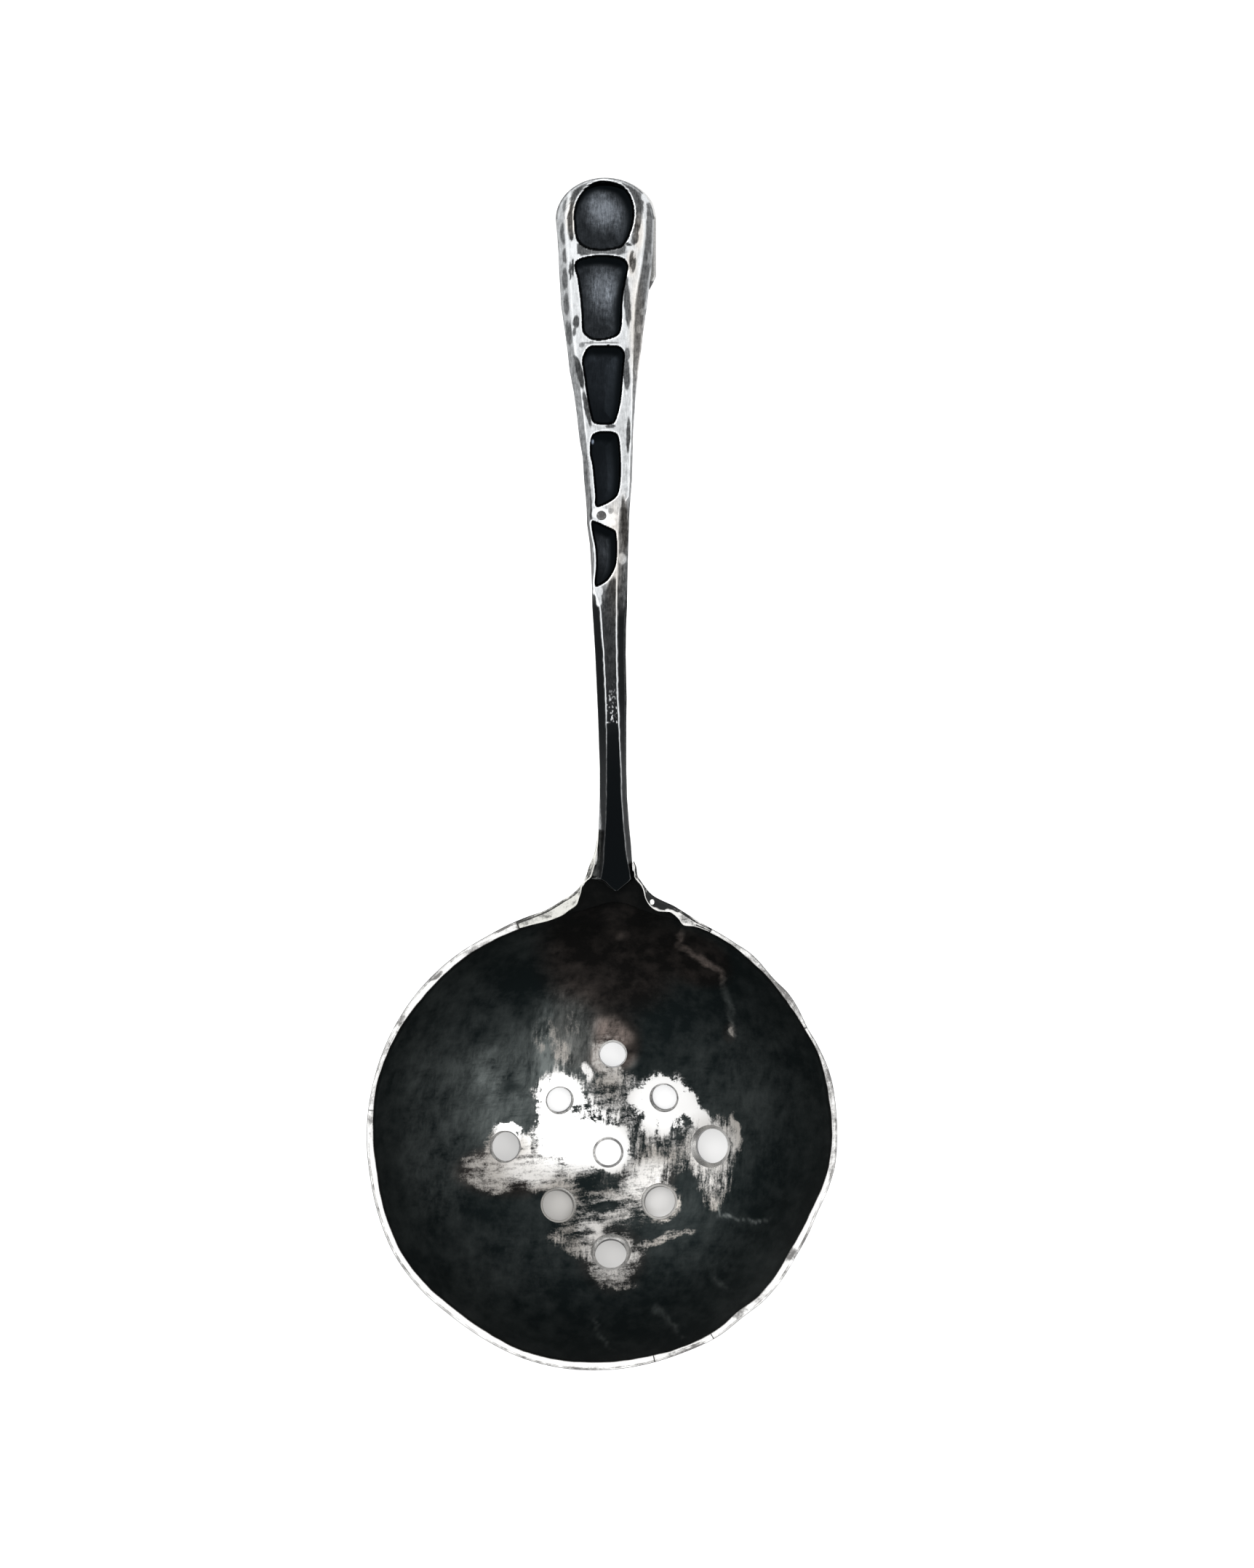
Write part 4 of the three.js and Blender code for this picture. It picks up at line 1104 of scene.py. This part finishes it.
# %% The handle's mesh
def handle_mesh():
    ys = np.unique(np.concatenate([
        np.arange(37.3, 39.1, 0.2), [39.1, 39.15], np.arange(39.3, dome_start, 0.18),
        [tab_end - 0.01, tab_end + 0.01],
        dome_start + dome_length * np.sin(np.linspace(0, math.pi / 2 * 0.97, 44)),
    ]))
    shares = (np.linspace(0, 1, 11), np.linspace(0, 1, 89)[1:], np.linspace(0, 1, 11)[1:])
    rings = []
    for y, (left, left_ridge, right_ridge, right) in zip(ys, handle_lines(ys).T):
        spans = ((left, left_ridge), (left_ridge, right_ridge), (right_ridge, right))
        x = np.concatenate([a + (b - a) * share for (a, b), share in zip(spans, shares)])
        z = top_height(x, np.full(len(x), y))
        under = float(handle_under(y))
        belly = min(1.0, 0.4 * (right - left) / 2)
        drop = min(1.1, 0.45 * (z[0] - under))
        below_x = [right, right - 0.35 * belly, right - belly, (left + right) / 2,
                   left + belly, left + 0.35 * belly, left]
        below_z = under + drop * np.array([1, 0.45, 0, 0, 0, 0.45, 1])
        rings.append(np.column_stack([
            np.append(x, below_x), np.full(len(x) + 7, y), np.append(z, below_z)]))
    return lofted("carved_handle", np.array(rings), 38)


handle = handle_mesh()

# %% [markdown]
# The handle's finish is painted as one tone from black to bright: bright along ridges and
# lips, grey on side facets that are partly worn and partly painted shade where they slope,
# black in the cells and down the shank. A second layer says where the metal looks brown
# and where it looks blue. As on the bowl, the dabs and the rows of tones are listed, and their
# places are the photograph's pixels.

# %% Facets on the handle, partly worn and partly painted shade, and leaf-shaped dents drawn only as painted shading, each with its tone
facet_wear_and_shade_dabs = [
    (777.5, 281, 3.6, 11, -20, 0.52), (774.5, 320, 4.4, 16, 2, 0.42), (777, 351, 3.8, 11, 0.42),
    (776.5, 383, 3.9, 16, 0.42), (778.5, 418, 4.2, 16, 3, 0.42), (782, 458, 4.4, 18, 4, 0.40),
    (894, 358, 3.5, 12, 12, 0.62), (884, 428, 5, 5, 10, 0.58), (880, 452, 5, 6, 10, 0.62),
    (780.5, 282, 2.8, 22, -9, 0.96), (887, 288, 2.8, 18, 0.95), (888, 272, 8, 6, -40, 0.93),
    (829, 707, 20, 9, -12, 0.99), (836, 716, 12, 7, -25, 0.99), (808.5, 690, 5.0, 62, 3, 0.33),
    (812, 770, 4.6, 62, 3, 0.20), (841, 820, 9.5, 27, -8, 0.24), (822, 812, 7.5, 9, 0.86),
    (823, 824, 4.2, 11, 4, 0.84),
]
leaf_dent_shading_dabs = [
    (785.6, 325, 2.8, 6.2, 0.26), (784, 372, 1.7, 13, 0.30), (787.5, 368, 1.8, 13, 0.26),
    (792, 442, 4.6, 9.5, 4, 0.32), (790, 455, 2.6, 7, -10, 0.42), (797, 513, 4.4, 23, 12, 0.25),
    (792, 494, 3.0, 7, 30, 0.33), (807, 562, 3.8, 26, 11, 0.31), (800, 474, 4.4, 3.6, 30, 0.55),
    (878, 300, 4.2, 9, 4, 0.42), (873, 328, 4.8, 8.8, -20, 0.35),
    (864, 336, 4.4, 2.0, -20, 0.24), (869.5, 359, 4.8, 16, 0.36), (872, 351, 1.7, 4, 0.8),
    (867, 371, 1.6, 5, 20, 0.72), (862, 413, 4.8, 38, 4, 0.36), (862, 487, 4.2, 9, 0.46),
    (861.4, 514, 4.8, 23, 2, 0.36), (863.8, 598, 3.0, 25, -2, 0.32),
    (858.4, 722, 4.4, 40, 3, 0.25), (855.5, 768, 6.4, 8, 0.80), (857, 807, 4.0, 29, 2, 0.34),
    (839, 586, 7.6, 2.6, 0.36), (840, 702, 4.4, 4.2, 40, 0.62), (819, 1208.4, 7, 1.8, 0.58),
    (822, 1200, 1.4, 10, 0.34), (845, 1224.3, 6, 0.8, 12, 0.34),
]
bridge_dabs = [
    (826, 346.5, 36, 5.0, 0.40), (798, 342, 8.5, 9.5, 32, 0.33), (854, 341, 7, 8, -32, 0.38),
    (826, 471, 26, 2.0, 0.5), (789, 342, 5, 12, 0.94), (793, 353, 6, 3.6, 40, 0.94),
]

# %% Tones down the photograph: left facet, right facet, middle, left ridge, right ridge
tone_rows = [
    (245, 0.76, 0.42, 0.88, 0.97, 0.97), (460, 0.72, 0.42, 0.86, 0.97, 0.9),
    (490, 0.54, 0.42, 0.84, 0.97, 0.88), (560, 0.52, 0.42, 0.82, 0.97, 0.88),
    (600, 0.48, 0.44, 0.8, 0.92, 0.88), (640, 0.38, 0.46, 0.78, 0.5, 0.84),
    (690, 0.34, 0.46, 0.8, 0.36, 0.84), (790, 0.22, 0.42, 0.78, 0.34, 0.9),
    (802, 0.16, 0.4, 0.7, 0.6, 0.92), (815, 0.1, 0.34, 0.34, 0.86, 0.94),
    (850, 0.06, 0.1, 0.22, 0.96, 0.97), (970, 0.06, 0.1, 0.16, 0.95, 0.97),
    (1010, 0.07, 0.11, 0.08, 0.6, 0.82), (1060, 0.09, 0.12, 0.06, 0.36, 0.62),
    (1120, 0.12, 0.12, 0.05, 0.26, 0.52), (1205, 0.15, 0.12, 0.05, 0.24, 0.34),
    (1235, 0.15, 0.12, 0.05, 0.12, 0.12),
]

# %% Tones on the handle
# The lighter patch on each cell floor: its middle, half size and tone, partly rubbed metal and
# partly a painted sheen
cell_sheens = [
    ((0.2, 141.4), (2.6, 3.0), 0.5), ((-0.2, 129.4), (2.2, 3.8), 0.43),
    ((-0.4, 115.2), (2.0, 4.0), 0.14), ((0.7, 100.8), (1.4, 3.4), 0.13),
    ((0.1, 89.6), (1.3, 3.4), 0.2),
]
ridge_rows = {
    "left": ([455, 490, 640, 840, 980, 1010], [0.26, 0.17, 0.13, 0.12, 0.11, 0.08]),
    "right": ([380, 450, 700, 840, 980, 1010], [0.26, 0.18, 0.16, 0.13, 0.12, 0.09]),
}
lip_gap = ((826, 339), (4.2, 0.92))
cell_spot = (814, 607, 2.6, 4.0, 0.6)
pale_edge_end, strip_start, strip_end, flank_end, specks_end = 600, 838, 1150, 1204, 994
side_depth, side_tone = 2.6, 0.30


def handle_tones(points):
    x, y, z = points.T
    down = mouth_pixel[1] - y / photo_scale  # in the photograph's pixels, from its top
    _, left_ridge, right_ridge, _ = handle_lines(y)
    inside = cell_depths(x, y)[1]
    side = from_side(x, y)
    on_left = x < (left_ridge + right_ridge) / 2
    round_end = y > dome_start
    loose = shaken(points, 0.8, 0.12)
    places, *columns = np.array(tone_rows).T
    left_facet, right_facet, middle, left_bright, right_bright = (
        np.interp(down, places, column) for column in columns)

    # Side facets, with a pale edge above and a grey strip below, and the face between
    pale_edge = band(side, 0.0, 0.16, 0.5) * (down < pale_edge_end)
    strip = band(side, 0.16, 0.10, 0.5) * (down > strip_start) * (down < strip_end) * ~on_left
    # A grey band down the left facet near the bowl is a painted reflection of the pale
    # surroundings, where the facet would mirror the left gusset's dark wall
    flank_half = 0.5 * soft_step(down, strip_end - 70, strip_end) + 0.001
    flank_reflection = band(side, 0.0, flank_half, 0.4) * on_left * (down < flank_end)
    facet = np.where(on_left, left_facet, over(right_facet, pale_edge, 0.78))
    facet = over(over(facet, strip, 0.22), flank_reflection, 0.50)
    tone = np.where((side < 1) & ~round_end, facet, middle)

    # The round end: a pale rim, a grey right side, and a crescent outside the first cell
    turn = np.degrees(np.arctan2(y - dome_start, x - dome_middle))
    grey_side = round_end * soft_step(turn, 52, 38) * band(side, 0.6, 0.42, 0.3)
    tone = over(np.where(round_end & (side < 1.6), 0.80, tone), grey_side, 0.44)
    tone = over(tone, band(side, 0.0, 0.16, 0.4) * round_end, 0.5)
    crescent = (soft_step(y, 137.0, 138.4) * band(inside, -0.62, 0.48, 0.2)
                * soft_step(side, 0.18, 0.4) * (1 - band(x, 0.9, 0.9, 0.5)))
    tone = over(tone, crescent, 0.32)

    # Dabs, and a spray of bright specks on the shank
    tone = laid(tone, loose, bridge_dabs + facet_wear_and_shade_dabs, 0.2)
    specks = soft_step(unevenness(points, 0.3, 31), 0.22, 0.42) * soft_step(down, 930, 975)
    tone = over(tone, specks * (down < specks_end) * (side > 1.0), 0.85)

    # Ridges and the cells' lips, worn bright, then the leaves and a painted highlight at the end
    # of the seam
    ridge = np.where(on_left, left_ridge, right_ridge)
    ridge = ridge + 0.05 * unevenness(points * (0, 1, 0), 0.9, 5)
    half = np.where(on_left, np.interp(down, *ridge_rows["left"]),
                    np.interp(down, *ridge_rows["right"]))
    on_ridge = band(x, ridge, half, 0.5) * ~round_end
    worn = over(tone, on_ridge, np.where(on_left, left_bright, right_bright))
    tone = np.maximum(tone, worn)
    lip = band(inside, -0.10, 0.11, 0.35) * soft_step(y, 82, 84)
    tone = over(tone, lip * (1 - dab(x, y, px(*lip_gap[0]), lip_gap[1], soft=0.1)), 0.98)
    tone = laid(tone, loose, leaf_dent_shading_dabs, 0.2)
    # A painted highlight along the left edge of the handle's root, where the seam ends
    tone = over(tone, band(side, 0.0, 0.35, 0.5) * on_left * (y < 39.14), 0.5)

    # Cells: blackened, their floors lighter in a patch that is partly rubbed and partly a painted
    # sheen, their right side in painted shadow
    floor_tone = 0.09 + 0.08 * soft_step(y, 110, 124)
    for at, size, sheen_tone in cell_sheens:
        floor_tone = over(floor_tone, dab(x, y, at, size, soft=0.9), sheen_tone)
    beyond = cell_depths(x + 0.45, y + 0.9)[1]
    shadow = soft_step(beyond, -0.1, 1.1) * soft_step(inside, 0.0, 0.4)
    tone = np.where(inside > 0.02, floor_tone * shadow, tone)
    tone = laid(tone, loose, [cell_spot], 0.4)
    return np.clip(np.where(z > handle_top(y) - side_depth, tone, side_tone), 0, 1)


# %% The handle's layers
warm_places = [
    (786, 300, 10, 26, 1.0), (878, 320, 8, 30, 0.9), (868, 362, 8, 20, 1.0),
    (858, 722, 6, 42, 1.0), (875, 450, 12, 90, 0.8), (845, 760, 14, 100, 0.8),
]
here = spots(handle)
x, y, _ = here.T
in_cell = soft_step(cell_depths(x, y)[1], 0.0, 0.2)
bluest = soft_step(y, 94, 97) * (1 - soft_step(y, 120, 122))
paint(handle, "tone", handle_tones(here))
paint(handle, "warm", over(laid(0.15, here, warm_places, 0.8), in_cell, -0.6 - 0.4 * bluest))
settle(handle, "handle", "handle_silver", carved)

# %% [markdown]
# The hook is a strap: its seat is soldered under the handle's end, it folds down past the
# tip and comes back under it. Only a pale strip of it shows from above. A section with
# eased corners is swept along the fold: level under the handle, round the fold, and back
# along the table with a narrowing end.

# %% The strap
strap_thickness, strap_half, strap_middle = 1.8, 7.2, 1.02
fold_out, fold_steps, return_length = 0.1, 28, 17.1
fold_radius = hook_height / 2
fold_y = tip_y + fold_out - fold_radius


def dome_drop(x):
    """How far the round end falls back from its tip at x; a little fuller at the right."""
    reach = dome_half + 0.44 if x > dome_middle else dome_half
    return dome_length * (1 - math.sqrt(max(0.0, 1 - ((x - dome_middle) / reach) ** 2)))


def strap_section(y, z, lean, half, middle):
    """One ring, flat on both faces, with eased corners. Its outer face is at y and z."""
    ease, cut = 0.3, 0.09
    flat = (half - ease) * np.sin(np.linspace(-1.5, 1.5, 25)) / math.sin(1.5)
    corners = [(half - cut, cut), (half, ease), (half, strap_thickness - ease),
               (half - cut, strap_thickness - cut)]
    section = [*((x, 0) for x in flat), *corners, *((x, strap_thickness) for x in flat[::-1]),
               *((-x, t) for x, t in corners[::-1])]
    out = max(0.0, (y - fold_y) / fold_radius)
    return [(middle + x, y - out * dome_drop(middle + x) + lean[0] * t, z + lean[1] * t)
            for x, t in section]


def strap_rings():
    def half_at(y):
        left, _, _, right = handle_lines(np.array(min(y, dome_start)))
        return (right - left) / 2 - 0.35, (left + right) / 2

    rings = []
    for y in np.linspace(seat_y, fold_y, 12)[:-1]:
        rings.append(strap_section(y, hook_height, (0, -1), *half_at(y)))
    for angle in math.pi * np.arange(fold_steps + 1) / fold_steps:
        lean = (-math.sin(angle), -math.cos(angle))
        y = fold_y - lean[0] * fold_radius
        back = soft_step(angle, 0, math.pi)
        half, middle = (over(at_seat, back, at_end)
                        for at_seat, at_end in zip(half_at(y), (strap_half, strap_middle)))
        rings.append(strap_section(y, fold_radius * (1 - lean[1]), lean, half, middle))
    for y in np.linspace(fold_y, tip_y + fold_out - return_length, 24)[1:]:
        back = fold_y - y
        narrowing = 0.35 * soft_step(back, 9.2, 9.9) + 0.52 * max(0.0, back - 9.9)
        rings.append(strap_section(y, 0, (0, 1), strap_half - narrowing, strap_middle))
    return np.array(rings)


strap = lofted("hook_strap", strap_rings(), 30)
here = spots(strap)
x, y, _ = here.T
# A painted shadow on the strap's return end, where it shows beside the handle
shadowed_end = (1 - soft_step(y, 130.6, 131.0)) * soft_step(x, 6.4, 7.0)
paint(strap, "shade", over(0.2 + 0.2 * unevenness(here, 6, 2), shadowed_end, 1.3))
settle(strap, "hanging_hook", "pale_silver", satin)

# %% [markdown]
# Two small pins show as dots: one in the right gusset, one in the bridge between the
# fourth and the fifth cell. Each is turned as a little dome on a shank.

# %% Pins
def pin(name, node, slot, finish, squeeze, shade):
    low, high = (1000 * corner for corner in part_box(node))
    middle = (low + high) / 2
    radius, top = (high.x - low.x) / 2, high.z
    profile = [(0.02, low.z), (radius, low.z), (radius, top - 0.25), (radius * 0.94, top - 0.1),
               (radius * 0.7, top - 0.03), (radius * 0.35, top), (0.02, top)]
    turn = np.linspace(0, 2 * math.pi, 40, endpoint=False)
    across, along = squeeze * np.cos(turn), np.sin(turn)
    rings = np.array([
        np.column_stack([middle.x + r * across, middle.y + r * along, np.full(len(turn), z)])
        for r, z in profile
    ]) - mouth
    made = lofted(name, rings, 40)
    paint(made, "shade", np.full(len(made.data.vertices), shade))
    settle(made, node, slot, finish)


pin("gusset_pin", "shoulder_pin", "bright_silver", bright, 0.8, 0.2)
pin("bridge_plug", "bridge_pin", "pale_silver", satin, 1.0, 0.75)
